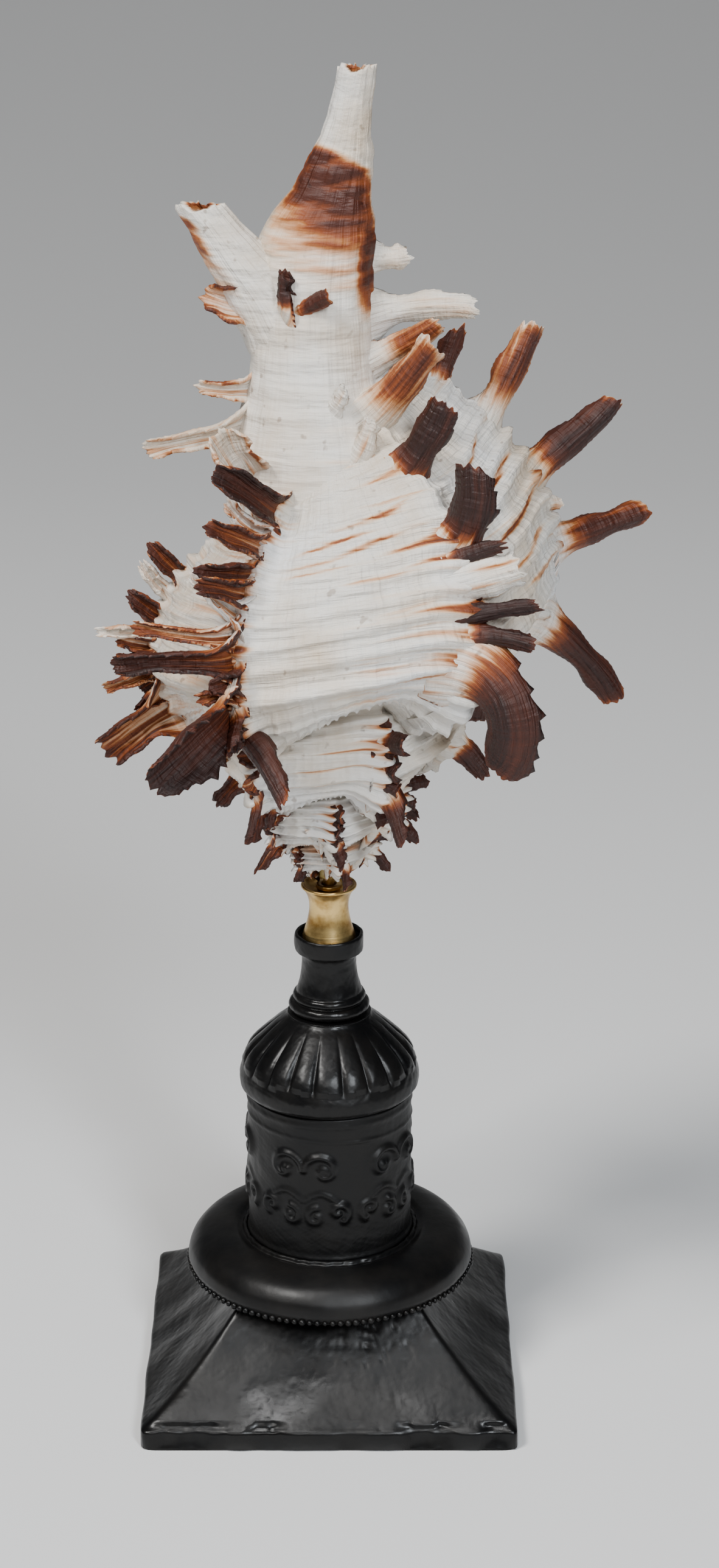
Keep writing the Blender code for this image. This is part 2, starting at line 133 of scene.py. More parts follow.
def put_mesh(name, points, faces, values=None, uv=None):
    """A mesh object from points in millimetres, with optional point values and a UV per point."""
    faces = np.asarray(faces, np.int32)
    mesh = bpy.data.meshes.new(name)
    mesh.vertices.add(len(points))
    mesh.vertices.foreach_set("co", (np.asarray(points, float) * MM).astype(np.float32).ravel())
    mesh.loops.add(faces.size)
    mesh.loops.foreach_set("vertex_index", faces.ravel())
    mesh.polygons.add(len(faces))
    mesh.polygons.foreach_set("loop_start", np.arange(0, faces.size, faces.shape[1], dtype=np.int32))
    mesh.update(calc_edges=True)
    for key, value in (values or {}).items():
        layer = mesh.attributes.new(key, "FLOAT", "POINT")
        layer.data.foreach_set("value", np.asarray(value, np.float32).ravel())
    if uv is not None:
        layer = mesh.uv_layers.new(name="UVMap")
        layer.data.foreach_set("uv", np.asarray(uv, np.float32)[faces.ravel()].ravel())
    mesh.validate()
    mesh.shade_smooth()
    made = bpy.data.objects.new(name, mesh)
    bpy.context.scene.collection.objects.link(made)
    return made


def ring_faces(rows, columns, start=0):
    """Quads of a grid whose columns run round in a ring."""
    i, j = np.meshgrid(np.arange(rows - 1), np.arange(columns), indexing="ij")
    k = (j + 1) % columns
    row, next_row = i * columns, (i + 1) * columns
    quads = np.stack([row + j, row + k, next_row + k, next_row + j], axis=-1)
    return quads.reshape(-1, 4) + start


def swing(radius, turn, height):
    """Points at a radius from the axis, a turn round it and a height, as whole arrays."""
    return np.stack(np.broadcast_arrays(radius * np.cos(turn), radius * np.sin(turn), height), axis=-1)


def capped_tube(rings):
    """Points and quads of a tube through rings of points, each end gathered into a middle point."""
    rows, columns = rings.shape[:2]
    first = np.repeat(rings[:1].mean(axis=1, keepdims=True), columns, axis=1)
    last = np.repeat(rings[-1:].mean(axis=1, keepdims=True), columns, axis=1)
    return np.concatenate([first, rings, last]).reshape(-1, 3), ring_faces(rows + 2, columns)


def finish_piece(piece, material, slot, *nodes):
    """Merges the points that lie on each other, gives the finish, hangs the piece under the root body and
    hides the CAD nodes it stands for.
    """
    edit = bmesh.new()
    edit.from_mesh(piece.data)
    bmesh.ops.remove_doubles(edit, verts=edit.verts, dist=2e-7)
    bmesh.ops.recalc_face_normals(edit, faces=edit.faces)
    edit.to_mesh(piece.data)
    edit.free()
    piece.data.shade_smooth()
    piece.data.materials.append(material)
    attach(piece, "root")
    if nodes:
        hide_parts(*nodes)
    return piece


def wave_noise(points, scale, seed, octaves=3):
    """Soft noise from -1 to 1 at each point: sums of sine waves in random directions, finer each octave."""
    chance = np.random.default_rng(seed)
    points = np.asarray(points, float)
    total = np.zeros(points.shape[:-1])
    for octave in range(octaves):
        for _ in range(5):
            direction = chance.normal(size=points.shape[-1])
            direction /= np.linalg.norm(direction)
            turn = points @ direction * (2 * math.pi * 2 ** octave / scale) * chance.uniform(0.6, 1.4)
            total += np.sin(turn + chance.uniform(0, 6.3) + 1.3 * np.sin(turn * 0.37)) / 2 ** octave
    return total / 5.0


def node_low_high(node):
    """Lowest and highest point of a CAD node, in millimetres."""
    low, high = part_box(node)
    return low.z / MM, high.z / MM


def new_finish(name, **levels):
    """A new material whose shader has these levels set on its own sockets."""
    made = bpy.data.materials.new(name)
    made.use_nodes = True
    return feed(made, made.node_tree.nodes["Principled BSDF"], levels)


def feed(finish, node, wanted):
    """Puts each wanted value on the node's socket of that name, or links it if it is another output."""
    for key, value in wanted.items():
        socket = node.inputs[key.replace("_", " ")]
        if isinstance(value, bpy.types.NodeSocket):
            finish.node_tree.links.new(value, socket)
        else:
            socket.default_value = value
    return finish


def add_node(finish, kind, out=0, **wanted):
    """One node of a finish, fed with the wanted values. Gives one of its outputs."""
    node = finish.node_tree.nodes.new("ShaderNode" + kind)
    feed(finish, node, wanted)
    return node.outputs[out]


def tones(finish, value, *stops):
    """Colours by value, as stops of (position, colour)."""
    node = finish.node_tree.nodes.new("ShaderNodeValToRGB")
    feed(finish, node, {"Fac": value})
    elements = node.color_ramp.elements
    while len(elements) < len(stops):
        elements.new(0.5)
    for element, (position, colour) in zip(elements, stops):
        element.position = position
        element.color = (*colour, 1.0)
    return node.outputs["Color"]


def coat(finish, colour, roughness, normal):
    """Links colour, roughness and bump to the shader."""
    wanted = {"Base_Color": colour, "Roughness": roughness, "Normal": normal}
    return feed(finish, finish.node_tree.nodes["Principled BSDF"], wanted)


def black_paint(name, lump_size, lump_depth, wear, dullness):
    """Gloss black paint: runs and orange peel in the bump, and a noise that moves the colour from black to a
    faint brown.
    """
    made = new_finish(name, IOR=1.42, Specular_IOR_Level=0.34)
    place = add_node(made, "TexCoord", "Object")

    def noise(scale, detail):
        """Noise through the solid, of this many lumps to a metre."""
        return add_node(made, "TexNoise", Vector=place, Scale=scale, Detail=detail, Roughness=0.55)

    colour = tones(made, noise(160.0, 6.0), (0.40, (0.0020, 0.0020, 0.0022)),
                   (0.74, (0.007 * wear, 0.0062 * wear, 0.0055 * wear)))
    gloss = add_node(made, "MapRange", Value=noise(70.0, 5.0), From_Min=0.30, From_Max=0.70,
                     To_Min=0.20 + dullness, To_Max=0.48 + dullness)
    coarse = add_node(made, "Bump", Strength=0.75, Distance=lump_depth, Height=noise(lump_size, 3.0))
    fine = add_node(made, "Bump", Strength=0.30, Distance=0.00006, Height=noise(1100.0, 3.0), Normal=coarse)
    return coat(made, colour, gloss, fine)


def square_rim(count, corner):
    """Points round a square of half width 1, with its corners rounded to the given radius, from angle 0."""
    turn = np.arange(count) * 2 * math.pi / count
    power = 2.0 / corner
    reach = (np.abs(np.cos(turn)) ** power + np.abs(np.sin(turn)) ** power) ** (-1.0 / power)
    return np.stack([np.cos(turn) * reach, np.sin(turn) * reach], axis=-1)


def make_base():
    """Square rings from the floor up. On the slope the half width falls evenly from the plinth to the
    top, less a sine arch that hollows the face; noise pushes each point in or out, and three or four
    bumps shaped exp(-x^4) bite into the plinth's front edge."""
    low, high = node_low_high("square_base")
    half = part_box("square_base")[1].x / MM
    plinth, top_half = 3.0, 12.7
    columns = 480
    part = np.linspace(0, 1, 44)
    slope_half = half - 0.55 + (top_half - half + 0.55) * part - 1.1 * np.sin(math.pi * part)
    slope_z = plinth + 0.25 + (high - plinth - 0.25) * part
    halves = np.concatenate([[0.2, half * 0.5, half - 1.2, half - 0.3, half, half, half - 0.05, half - 0.3],
                             slope_half, [4.0]])
    levels = np.concatenate([[low, low, low, low, low + 0.25, plinth - 0.5, plinth - 0.15, plinth + 0.08],
                             slope_z, [high]])
    rim = square_rim(columns, 0.040)
    rings = np.concatenate([halves[:, None, None] * rim[None], np.broadcast_to(
        levels[:, None, None], (len(levels), columns, 1))], axis=-1)
    where = np.linalg.norm(rings[..., :2], axis=-1)
    worked = np.clip((where - 9) / 6, 0, 1) * (rings[..., 2] > low + 0.01)
    patch = np.exp(-((rings[..., 0] - 6.5) / 5.5) ** 2 - ((rings[..., 2] - 13.0) / 3.6) ** 2)
    patch = patch * (rings[..., 1] < 0)
    hammered = 0.10 + 1.30 * patch
    dent = wave_noise(rings, 14.0, 3, 2) * 0.14
    dent = dent + np.minimum(wave_noise(rings, 1.9, 4, 2), 0) * 0.26 * hammered
    facing = rings[..., :2] / np.maximum(where[..., None], 1e-6)
    rings[..., :2] += facing * (dent * worked)[..., None]
    rings[..., 2] += dent * worked * 0.5 * (rings[..., 2] > plinth)
    front = rings[..., 1] < -half + 1.5
    edge = (rings[..., 2] > low + 0.01) & (rings[..., 2] < plinth + 0.6)
    chips = ((14.5, 4.2, 0.9), (24.5, 2.2, 0.9), (-21.0, 6.0, 0.7), (-9.0, 3.0, 0.35), (3.0, 2.0, 0.3))
    for centre, wide, deep in chips:
        away = (rings[..., 0] - centre) / wide
        bite = deep * np.exp(-away ** 4) * (0.75 + 0.35 * wave_noise(rings, 2.2, 9, 2))
        rings[..., 1] += np.where(front & edge, bite, 0.0)
    rings[..., 2] = np.maximum(rings[..., 2], low)
    points, faces = capped_tube(rings)
    base = put_mesh("square_base_cast", points, faces)
    finish_piece(base, black_paint("satin_cast_black", 150.0, 0.0004, 0.9, 0.0), "black_paint", "square_base")


make_base()

# ----
# Round foot: a fat cast ring under the drum, with a string of tiny beads along its lower outer edge.


def smooth_line(points, count):
    """A Catmull-Rom line through the points."""
    points = np.asarray(points, float)
    last = len(points) - 1
    place = np.linspace(0, last, count)
    index = np.clip(place.astype(int), 0, last - 1)
    part = (place - index)[:, None]
    before, start = points[np.clip(index - 1, 0, last)], points[index]
    end, after = points[index + 1], points[np.clip(index + 2, 0, last)]
    return 0.5 * (2 * start + (end - before) * part + (2 * before - 5 * start + 4 * end - after) * part ** 2
                  + (3 * start - before - 3 * end + after) * part ** 3)


def turned_rings(profile, columns, shape=None):
    """A profile of (radius, height) turned round Z; shape(turn, height) is added to the radius."""
    turn = np.arange(columns) * 2 * math.pi / columns
    radius = np.broadcast_to(profile[:, :1], (len(profile), columns)).copy()
    height = np.broadcast_to(profile[:, 1:], radius.shape)
    if shape is not None:
        radius += shape(np.broadcast_to(turn, radius.shape), height, radius)
    return swing(radius, turn, height)


def make_foot():
    """A smooth profile turned round the axis, its radius moved by noise. The beads are spheres on a
    circle, each scaled by a random share."""
    low, high = node_low_high("round_foot")
    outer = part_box("round_foot")[1].x / MM
    joint = low + 5.1
    profile = smooth_line((
        (1.9, low), (9.0, low), (outer - 1.6, low), (outer - 0.5, low + 0.15), (outer - 0.05, low + 0.9),
        (outer, low + 1.7), (outer - 0.5, low + 3.2), (outer - 1.9, low + 4.7), (outer - 4.2, low + 5.6),
        (outer - 6.6, high + 0.05), (13.6, joint + 0.35), (13.2, joint + 0.30), (12.9, joint + 0.75),
        (12.5, joint + 0.70), (12.3, joint), (1.9, joint)), 160)

    def uneven(turn, height, radius):
        """A lumpy bead of paint in the joint, and a low noise that grows away from it."""
        around = swing(radius, turn, height)
        joint_bead = np.exp(-((radius - 12.8) / 0.5) ** 2) * (height > low + 3)
        lump = 0.20 * wave_noise(around, 2.2, 23, 2) * joint_bead
        return lump + 0.07 * wave_noise(around, 12.0, 21, 3) * np.clip((radius - 13.8) / 3, 0, 1)

    rings = turned_rings(profile, 300, uneven)
    foot = put_mesh("round_foot_cast", *capped_tube(rings))
    finish_piece(foot, black_paint("satin_black", 110.0, 0.0002, 1.1, 0.06), "black_paint", "round_foot")
    count, size = 118, 0.46
    chance = np.random.default_rng(5)
    across = np.radians(np.linspace(0, 180, 8))
    around = np.radians(np.arange(10) * 36)
    ball = swing(np.sin(across)[:, None], around, np.cos(across)[:, None]).reshape(-1, 3)
    turn = np.arange(count) * 2 * math.pi / count
    grow = chance.uniform(0.75, 1.15, count)
    centres = swing(outer - 0.10, turn, low + 0.35)
    points = (centres[:, None] + ball[None] * (size * grow)[:, None, None]).reshape(-1, 3)
    quads = ring_faces(8, 10)
    faces = (quads[None] + (np.arange(count) * 80)[:, None, None]).reshape(-1, 4)
    beads = put_mesh("foot_bead_string", points, faces)
    finish_piece(beads, bpy.data.materials["satin_black"], "black_paint")


make_foot()

# ----
# Relief drum: a cast cylinder with a low band of curled scrolls and leaves, softened by many coats
# of paint, and a plain border at each end.


def scroll(centre, size, turns, start, hand):
    """A spiral scroll in the unrolled plane: its radius shrinks evenly as it winds in to its eye."""
    part = np.linspace(0, 1, 46)
    angle = math.radians(start) + hand * part * turns * 2 * math.pi
    radius = size * (1 - 0.82 * part)
    return np.stack([centre[0] + radius * np.cos(angle), centre[1] + radius * np.sin(angle)], axis=-1)


def drum_relief(columns, heights, radius, low):
    """Height of the relief over the unrolled drum: rounded ridges along the scrolls, bumps at their eyes."""
    repeat = 5
    cell = 2 * math.pi * radius / repeat
    x = (np.arange(columns) * 2 * math.pi * radius / columns) % cell - cell / 2
    plane = np.stack(np.meshgrid(x, heights - low), axis=-1)
    relief = np.zeros(plane.shape[:2])
    lines = []
    for hand in (-1, 1):
        lines.append((scroll((hand * 2.9, 15.0), 2.8, 0.95, 180 if hand > 0 else 0, -hand), 0.55, 0.80))
        lines.append((scroll((hand * 2.9, 14.8), 0.6, 0.5, 0, hand), 0.70, 0.70))
        lines.append((scroll((hand * 5.2, 8.4), 1.7, 0.9, -60 if hand > 0 else 240, hand), 0.60, 0.75))
        lines.append((scroll((hand * 1.9, 7.4), 1.5, 0.9, 90, hand), 0.60, 0.75))
        stem_x, stem_z = hand * np.linspace(0.3, 6.6, 30), 10.0 + 1.2 * np.sin(np.linspace(0, 4.2, 30))
        stem = np.stack([stem_x, stem_z], axis=-1)
        lines.append((stem, 0.55, 0.40))
    for line, wide, tall in lines:
        away = np.full(plane.shape[:2], 99.0)
        for point in line:
            gap = np.abs(plane[..., 0] - point[0])
            gap = np.minimum(gap, cell - gap)
            away = np.minimum(away, np.hypot(gap, plane[..., 1] - point[1]))
        relief = np.maximum(relief, tall * np.exp(-(away / wide) ** 2))
    return relief


def make_drum():
    """A cylinder whose radius is raised by the scrolls, by two border lines, each a Gaussian in height,
    and by a low noise."""
    low, high = node_low_high("relief_drum")
    radius, columns = 12.15, 500
    heights = np.linspace(low + 0.15, high - 0.15, 180)
    slant = 0.35
    profile = np.stack([np.full(180, radius), heights], axis=-1)
    border = 0.25 * np.exp(-((heights - low - 0.5) / 0.45) ** 2)
    border += 0.18 * np.exp(-((heights - high + 1.2) / 0.5) ** 2)
    profile[:, 0] += border
    rings = turned_rings(profile, columns)
    turn = np.arange(columns) * 2 * math.pi / columns
    relief = drum_relief(columns, heights, radius, low)
    worn = 0.75 + 0.25 * wave_noise(rings, 8.0, 31, 2)
    slope = slant * np.exp(-((heights[:, None] - high + 3.6 + 0.5 * np.cos(turn)[None]) / 0.35) ** 2)
    swell = 1.0 + (relief * worn + 0.5 * slope * worn + 0.05 * wave_noise(rings, 3.0, 33, 3)) / radius
    rings[..., :2] *= swell[..., None]
    first, last = rings[:1].copy(), rings[-1:].copy()
    first[..., :2] *= 0.975
    last[..., :2] *= 0.975
    first[..., 2], last[..., 2] = low, high
    drum = put_mesh("relief_drum_cast", *capped_tube(np.concatenate([first, rings, last])))
    finish_piece(drum, black_paint("soft_black", 260.0, 0.0001, 0.6, 0.10), "black_paint", "relief_drum")


make_drum()

# ----
# Fluted dome: a bell-shaped casting. Flat lobes run down it, parted by narrow creases that end in
# round scoops above a plain band and a rolled rim; paint has half filled some of them.


def make_dome():
    """A bell profile turned round the axis. Across each lobe the radius rises with the square root of a
    sine away from the crease, a Gaussian cuts the crease, and both fade out at the rim and the top."""
    low, high = node_low_high("fluted_dome")
    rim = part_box("fluted_dome")[1].x / MM
    profile = smooth_line((
        (2.0, low), (rim - 1.9, low), (rim - 0.75, low + 0.12), (rim - 0.15, low + 0.7), (rim, low + 1.5),
        (rim - 0.05, low + 2.4), (rim - 0.40, low + 3.4), (rim - 0.80, low + 4.3), (rim - 1.35, low + 5.5),
        (rim - 2.3, low + 6.8), (rim - 3.3, low + 7.9), (rim - 4.6, low + 9.2), (rim - 5.9, low + 10.4),
        (rim - 6.9, low + 11.2), (rim - 7.3, high - 0.3), (rim - 7.5, high), (2.0, high)), 180)
    lobes = 20
    chance = np.random.default_rng(11)
    wander = chance.uniform(-0.25, 0.25, lobes)
    depth = chance.uniform(0.35, 1.0, lobes)

    def flutes(turn, height, radius):
        """Lobes by the turn's place between two creases, each crease moved and deepened by chance."""
        place = turn / (2 * math.pi) * lobes
        index = np.floor(place).astype(int) % lobes
        inside = place - np.floor(place) - 0.5 - wander[index] * 0.35
        crease = np.exp(-(inside / 0.11) ** 2) * depth[index]
        foot = low + 3.0 + 0.8 * depth[index]
        up = np.clip((height - foot) / 0.9, 0, 1) * np.clip((low + 10.9 - height) / 4.5, 0, 1)
        swell = 0.42 * np.abs(np.sin(inside * math.pi)).clip(0, 1) ** 0.5 * up
        body = (radius > rim - 7.2) & (height > low + 0.3)
        around = swing(radius, turn, height)
        return np.where(body, swell - 0.42 * crease * up, 0.0) + 0.07 * wave_noise(around, 4.0, 41, 3) * body

    rings = turned_rings(profile, 520, flutes)
    dome = put_mesh("fluted_dome_cast", *capped_tube(rings))
    finish_piece(dome, black_paint("gloss_black", 240.0, 0.00022, 0.9, -0.02), "black_paint", "fluted_dome")


make_dome()

# ----
# Neck: turned and painted with the dome. Two rings at its foot, a waist, and a cupped collar whose
# rim stands round the brass spool.


def make_neck():
    """A smooth profile turned round the axis, its radius moved by a low noise."""
    low, high = node_low_high("stand_neck")
    seat = node_low_high("brass_spool")[0] - 0.3
    profile = np.concatenate([
        smooth_line(((2.0, low), (5.2, low), (5.75, low + 0.25), (5.95, low + 0.8), (5.7, low + 1.35),
                     (5.15, low + 1.6)), 30),
        smooth_line(((5.1, low + 1.65), (5.35, low + 2.1), (5.2, low + 2.6), (4.85, low + 2.9),
                     (4.7, low + 3.4), (4.3, low + 4.8), (4.05, low + 6.4), (4.0, low + 8.0),
                     (4.25, low + 8.9), (4.85, low + 9.35)), 60),
        smooth_line(((4.98, low + 9.5), (5.05, low + 10.2), (5.03, high - 0.5), (4.92, high - 0.1),
                     (4.72, high), (4.52, high - 0.08), (4.42, high - 0.4), (4.4, seat), (0.3, seat)), 60)])

    def uneven(turn, height, radius):
        """A low noise on the outside, and none on the foot."""
        around = swing(radius, turn, height)
        return 0.08 * wave_noise(around, 3.4, 51, 3) * (radius > 4.0) * (height > low + 0.1)

    neck = put_mesh("stand_neck_turned", *capped_tube(turned_rings(profile, 200, uneven)))
    finish_piece(neck, bpy.data.materials["gloss_black"], "black_paint", "stand_neck")


make_neck()

# ----
# Brass spool, its bush and the pin: turned from bar and left bright, so fine lathe lines run round
# them. The spool's top is a shallow dish, and the pin stands in the bush at its middle.


def turned_brass(name, dull, tint):
    """Bright brass with fine lathe lines round the axis and a little brown tarnish."""
    made = new_finish(name, Metallic=1.0)
    place = add_node(made, "TexCoord", "Object")
    round_axis = add_node(made, "Mapping", Vector=place, Scale=(60.0, 60.0, 9000.0))
    lines = add_node(made, "TexNoise", Vector=round_axis, Scale=1.0, Detail=3.0)
    stain_and_shade = add_node(made, "TexNoise", Vector=place, Scale=420.0, Detail=5.0)
    colour = tones(made, stain_and_shade, (0.36, (0.40 * tint, 0.22 * tint, 0.055 * tint)),
                   (0.60, (0.83 * tint, 0.58 * tint, 0.23 * tint)))
    gloss = add_node(made, "MapRange", Value=lines, To_Min=dull, To_Max=dull + 0.22)
    return coat(made, colour, gloss, add_node(made, "Bump", Strength=0.25, Distance=0.00003, Height=lines))


def closed_ring(rings):
    """Points and quads of rings whose last one joins the first."""
    return np.concatenate([rings, rings[:1]]).reshape(-1, 3), ring_faces(len(rings) + 1, rings.shape[1])


def make_spool():
    """Smooth profiles turned round the axis, for the spool, the bush as a closed ring, and the pin."""
    low, high = node_low_high("brass_spool")
    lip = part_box("brass_spool")[1].x / MM
    dish = high - 0.95
    profile = np.concatenate([
        smooth_line(((0.3, low), (3.5, low), (3.8, low + 0.12), (3.87, low + 0.4)), 12),
        smooth_line(((3.86, low + 0.45), (3.55, low + 1.4), (3.15, low + 2.8), (2.88, low + 4.4),
                     (2.90, low + 5.6), (3.15, low + 6.7), (3.55, low + 7.5), (3.8, low + 7.85)), 60),
        smooth_line(((3.9, low + 7.95), (lip - 0.02, high - 0.4), (lip, high - 0.2), (lip - 0.1, high - 0.03),
                     (lip - 0.28, high), (lip - 0.42, high - 0.1)), 20),
        smooth_line(((lip - 0.6, high - 0.35), (3.0, high - 0.7), (2.2, dish), (1.12, dish),
                     (1.12, low + 4.8), (0.3, low + 4.8)), 40)])
    spool = put_mesh("brass_spool_turned", *capped_tube(turned_rings(profile, 120)))
    brass = turned_brass("bright_brass", 0.20, 0.92)
    finish_piece(spool, brass, "brass", "brass_spool")
    low, high = node_low_high("pin_bush")
    profile = smooth_line(((1.12, low), (1.75, low), (1.9, low + 0.1), (1.9, high - 0.2), (1.75, high - 0.02),
                           (1.3, high), (1.12, high - 0.06), (1.1, low + 0.3), (1.12, low)), 40)
    rings = turned_rings(profile[:-1], 64)
    bush = put_mesh("pin_bush_ring", *closed_ring(rings))
    finish_piece(bush, brass, "brass", "pin_bush")
    low, high = node_low_high("mount_pin")
    profile = ((0.1, low), (0.74, low), (0.8, low + 0.1), (0.8, high - 0.6), (0.7, high - 0.25), (0.3, high))
    pin = put_mesh("mount_pin_rod", *capped_tube(turned_rings(smooth_line(profile, 30), 32)))
    finish_piece(pin, turned_brass("dull_brass", 0.30, 0.8), "brass", "mount_pin")


make_spool()

# ----
# Tie rod: hidden steel that holds the cast pieces together. Glue bead: a lump of amber resin round
# the pin where it goes into the broken apex.


def mottled(name, dark, light, scale, dull, shine, metallic):
    """Two tones mixed by noise, with the same noise in the roughness and a shallow bump."""
    made = new_finish(name, Metallic=metallic)
    noise = add_node(made, "TexNoise", Vector=add_node(made, "TexCoord", "Object"), Scale=scale, Detail=6.0)
    gloss = add_node(made, "MapRange", Value=noise, To_Min=shine, To_Max=dull)
    bump = add_node(made, "Bump", Strength=0.3, Distance=0.0001, Height=noise)
    return coat(made, tones(made, noise, (0.35, dark), (0.65, light)), gloss, bump)


rod_material = mottled("drawn_steel", (0.30, 0.29, 0.28), (0.52, 0.52, 0.53), 900.0, 0.5, 0.3, 1.0)
for rod_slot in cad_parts["tie_rod"].material_slots:
    rod_slot.material = rod_material


def make_glue():
    """A torus with an elliptic section round the pin, its height moved by noise."""
    low, high = node_low_high("glue_bead")
    inner, outer = 1.1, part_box("glue_bead")[1].x / MM
    across = np.linspace(0, 2 * math.pi, 17)[:-1]
    middle, half = (inner + outer) / 2, (outer - inner) / 2
    turn = np.arange(48) * 2 * math.pi / 48
    height = (low + high) / 2 + (high - low) / 2 * np.sin(across)[:, None]
    rings = swing(middle + half * np.cos(across)[:, None], turn, height)
    rings[..., 2] += 0.08 * wave_noise(rings, 2.0, 61, 2)
    bead = put_mesh("glue_bead_drop", *closed_ring(rings))
    amber = mottled("amber_resin", (0.26, 0.19, 0.05), (0.56, 0.43, 0.16), 500.0, 0.3, 0.12, 0.0)
    finish_piece(bead, amber, "amber_glue", "glue_bead")


make_glue()

# ----
# Shell body: one outline wound round the axis and growing by a fixed share each turn. Fine cords run
# along it, growth lines cross them, and each former lip stays as a raised varix. Lime shell, white
# to cream, with orange and brown bands laid down beside each frond.
APEX_Z = 75.0
GROWTH, LIP_ANGLE, FIRST_ANGLE = 1.7, 13.0, -1390.0
OUTLINE = (
    (16.0, 34.5), (22.0, 36.6), (27.5, 39.5), (30.6, 44.0), (31.2, 50.0), (30.4, 56.0),
    (28.0, 62.0), (23.5, 68.0), (17.5, 73.5), (12.0, 78.5), (8.5, 83.0), (3.0, 84.0),
    (1.0, 74.0), (2.0, 60.0), (5.0, 46.0), (10.0, 36.5), (16.0, 34.5),
)
# Between two varices the wall draws in below the shoulder, which leaves each varix standing out as a wing.
WAIST = (
    (14.0, 38.5), (20.0, 41.6), (24.6, 43.6), (28.4, 45.4), (30.6, 49.6), (30.4, 56.0),
) + OUTLINE[6:-1] + ((14.0, 38.5),)
VARICES = (13, -47, -116, -185, -242, -298, -355, -422, -492, -560, -628, -690, -735, -805, -875, -945, -1015,
           -1085, -1155, -1225, -1295)

# Fronds by varix: height on the outline, length, lean at the root and the tip, sweep, width, fold,
# and how dark the back is, from 0 for white to 1 for chocolate.
FRONDS = {
    13: (
        (76, 10, 64, 70, 10, 3.6, 100, 0.6), (70, 17, 52, 66, 12, 4.8, 110, 0.45),
        (62, 18, 30, 40, 10, 5.0, 110, 0.8), (58, 5, 0, -10, 10, 2.4, 90, 0.2),
        (52, 18, 4, 12, 14, 4.6, 120, 0.6), (42, 21, -38, -60, 10, 5.2, 120, 0.75),
    ),
    -47: (
        (74, 13, 50, 82, 20, 5.8, 95, 0.95), (65.5, 13, 55, 100, 0, 7.4, 85, 1.0),
        (63, 9, 26, 18, 25, 2.6, 100, 0.9), (60, 10, 12, 24, 25, 6.4, 110, 0.12),
        (56, 11, 0, 10, 40, 2.8, 110, 1.0), (52.5, 10, 8, -16, 22, 3.2, 100, 0.9),
        (48.5, 20, 0, -160, 4, 11.0, 72, 0.9),
    ),
    -116: (
        (75, 16, 38, 30, -22, 4.6, 95, 0.6), (70.5, 14, 30, 24, -20, 3.4, 100, 0.4),
        (67.5, 13, 16, 10, -20, 3.2, 110, 0.6), (64.5, 12, 24, 14, -20, 3.6, 100, 0.4),
        (59, 16, 5, 1, -60, 2.4, 110, 0.35), (55.5, 19, 2, -4, -58, 3.4, 110, 0.75),
        (51.5, 7, 14, -10, -20, 3.6, 110, 0.8), (47.5, 19, -10, -42, -22, 9.0, 80, 0.7),
        (43, 15, -10, -75, 62, 4.0, 120, 0.8),
        (72.6, 10, 20, 52, -44, 2.6, 130, 0.14), (61.6, 11, 34, 50, -50, 2.8, 130, 0.12),
        (49.6, 8, 6, -12, -38, 2.4, 130, 0.55), (45.4, 9, -20, -44, 10, 2.8, 120, 0.70),
    ),
    -185: (
        (65, 9, 50, 44, 15, 3.0, 100, 0.5), (57, 8, 44, 36, 10, 3.2, 110, 0.5),
        (51.5, 8, 14, 12, 10, 2.6, 110, 0.6), (49, 8, 2, -4, 10, 3.4, 110, 0.6),
        (45, 5, -20, -40, 5, 2.4, 110, 0.5), (40.5, 14, -28, -46, 5, 6.0, 100, 0.6),
        (61.0, 9, 40, 66, 18, 2.4, 130, 0.16), (54.4, 11, 14, -6, 16, 2.0, 130, 0.22),
        (46.8, 10, -4, -26, 14, 2.2, 130, 0.40), (43.0, 7, -30, -58, 0, 2.4, 130, 0.55),
    ),
}
# Every other varix follows one rule: height, length and lean of its five fronds.
RULE_FRONDS = ((42.0, 15.0, -45.0), (50.0, 8.0, -8.0), (57.0, 11.0, 10.0), (64.0, 8.0, 26.0),
               (70.0, 9.0, 42.0))
# The spire carries small cups between them: height and lean.
SPIRE_CUPS = ((37.5, -50.0), (46.0, -20.0), (53.5, 0.0), (60.0, 20.0))


def size_at(angle):
    """Size of the whorl: the growth to the power of the turns left to the lip."""
    return GROWTH ** ((np.asarray(angle, float) - LIP_ANGLE) / 360)


def even_steps(line, count):
    """The line resampled to points an equal distance apart."""
    gone = np.concatenate([[0], np.cumsum(np.linalg.norm(np.diff(line, axis=0), axis=1))])
    place = np.linspace(0, gone[-1], count)
    return np.stack([np.interp(place, gone, line[:, k]) for k in range(line.shape[1])], axis=-1), place


OUTER_LINE, OUTER_RUN = even_steps(smooth_line(OUTLINE, 1601)[:1001], 400)


def run_of(height):
    """Distance along the outside of the outline, from the seam, of a given height."""
    return np.interp(height, OUTER_LINE[:, 1], OUTER_RUN)


def frond_list():
    """Every frond of every varix, as (varix angle, numbers)."""
    chance = np.random.default_rng(7)
    more = np.random.default_rng(17)
    for angle in VARICES:
        size = float(size_at(angle))
        if angle in FRONDS:
            for numbers in FRONDS[angle]:
                yield angle, numbers
            continue
        for height, length, lean in RULE_FRONDS:
            long = length * size ** 0.65 * chance.uniform(0.8, 1.15)
            sweep = chance.uniform(-10, 20)
            if angle < -330 and height > 60:
                continue
            wide = max(5.4 * size ** 0.7, 1.9)
            yield angle, (height, max(long, 2.2), lean, lean * 1.3, sweep, wide, 100, 0.8)
        if angle < -400:
            for height, lean in SPIRE_CUPS:
                long = 7.0 * size ** 0.65 * more.uniform(0.6, 1.2)
                sweep, wide = more.uniform(5, 40), max(4.2 * size ** 0.6, 1.7)
                yield angle, (height, long, lean, lean * 1.5, sweep, wide, 130, 0.75)


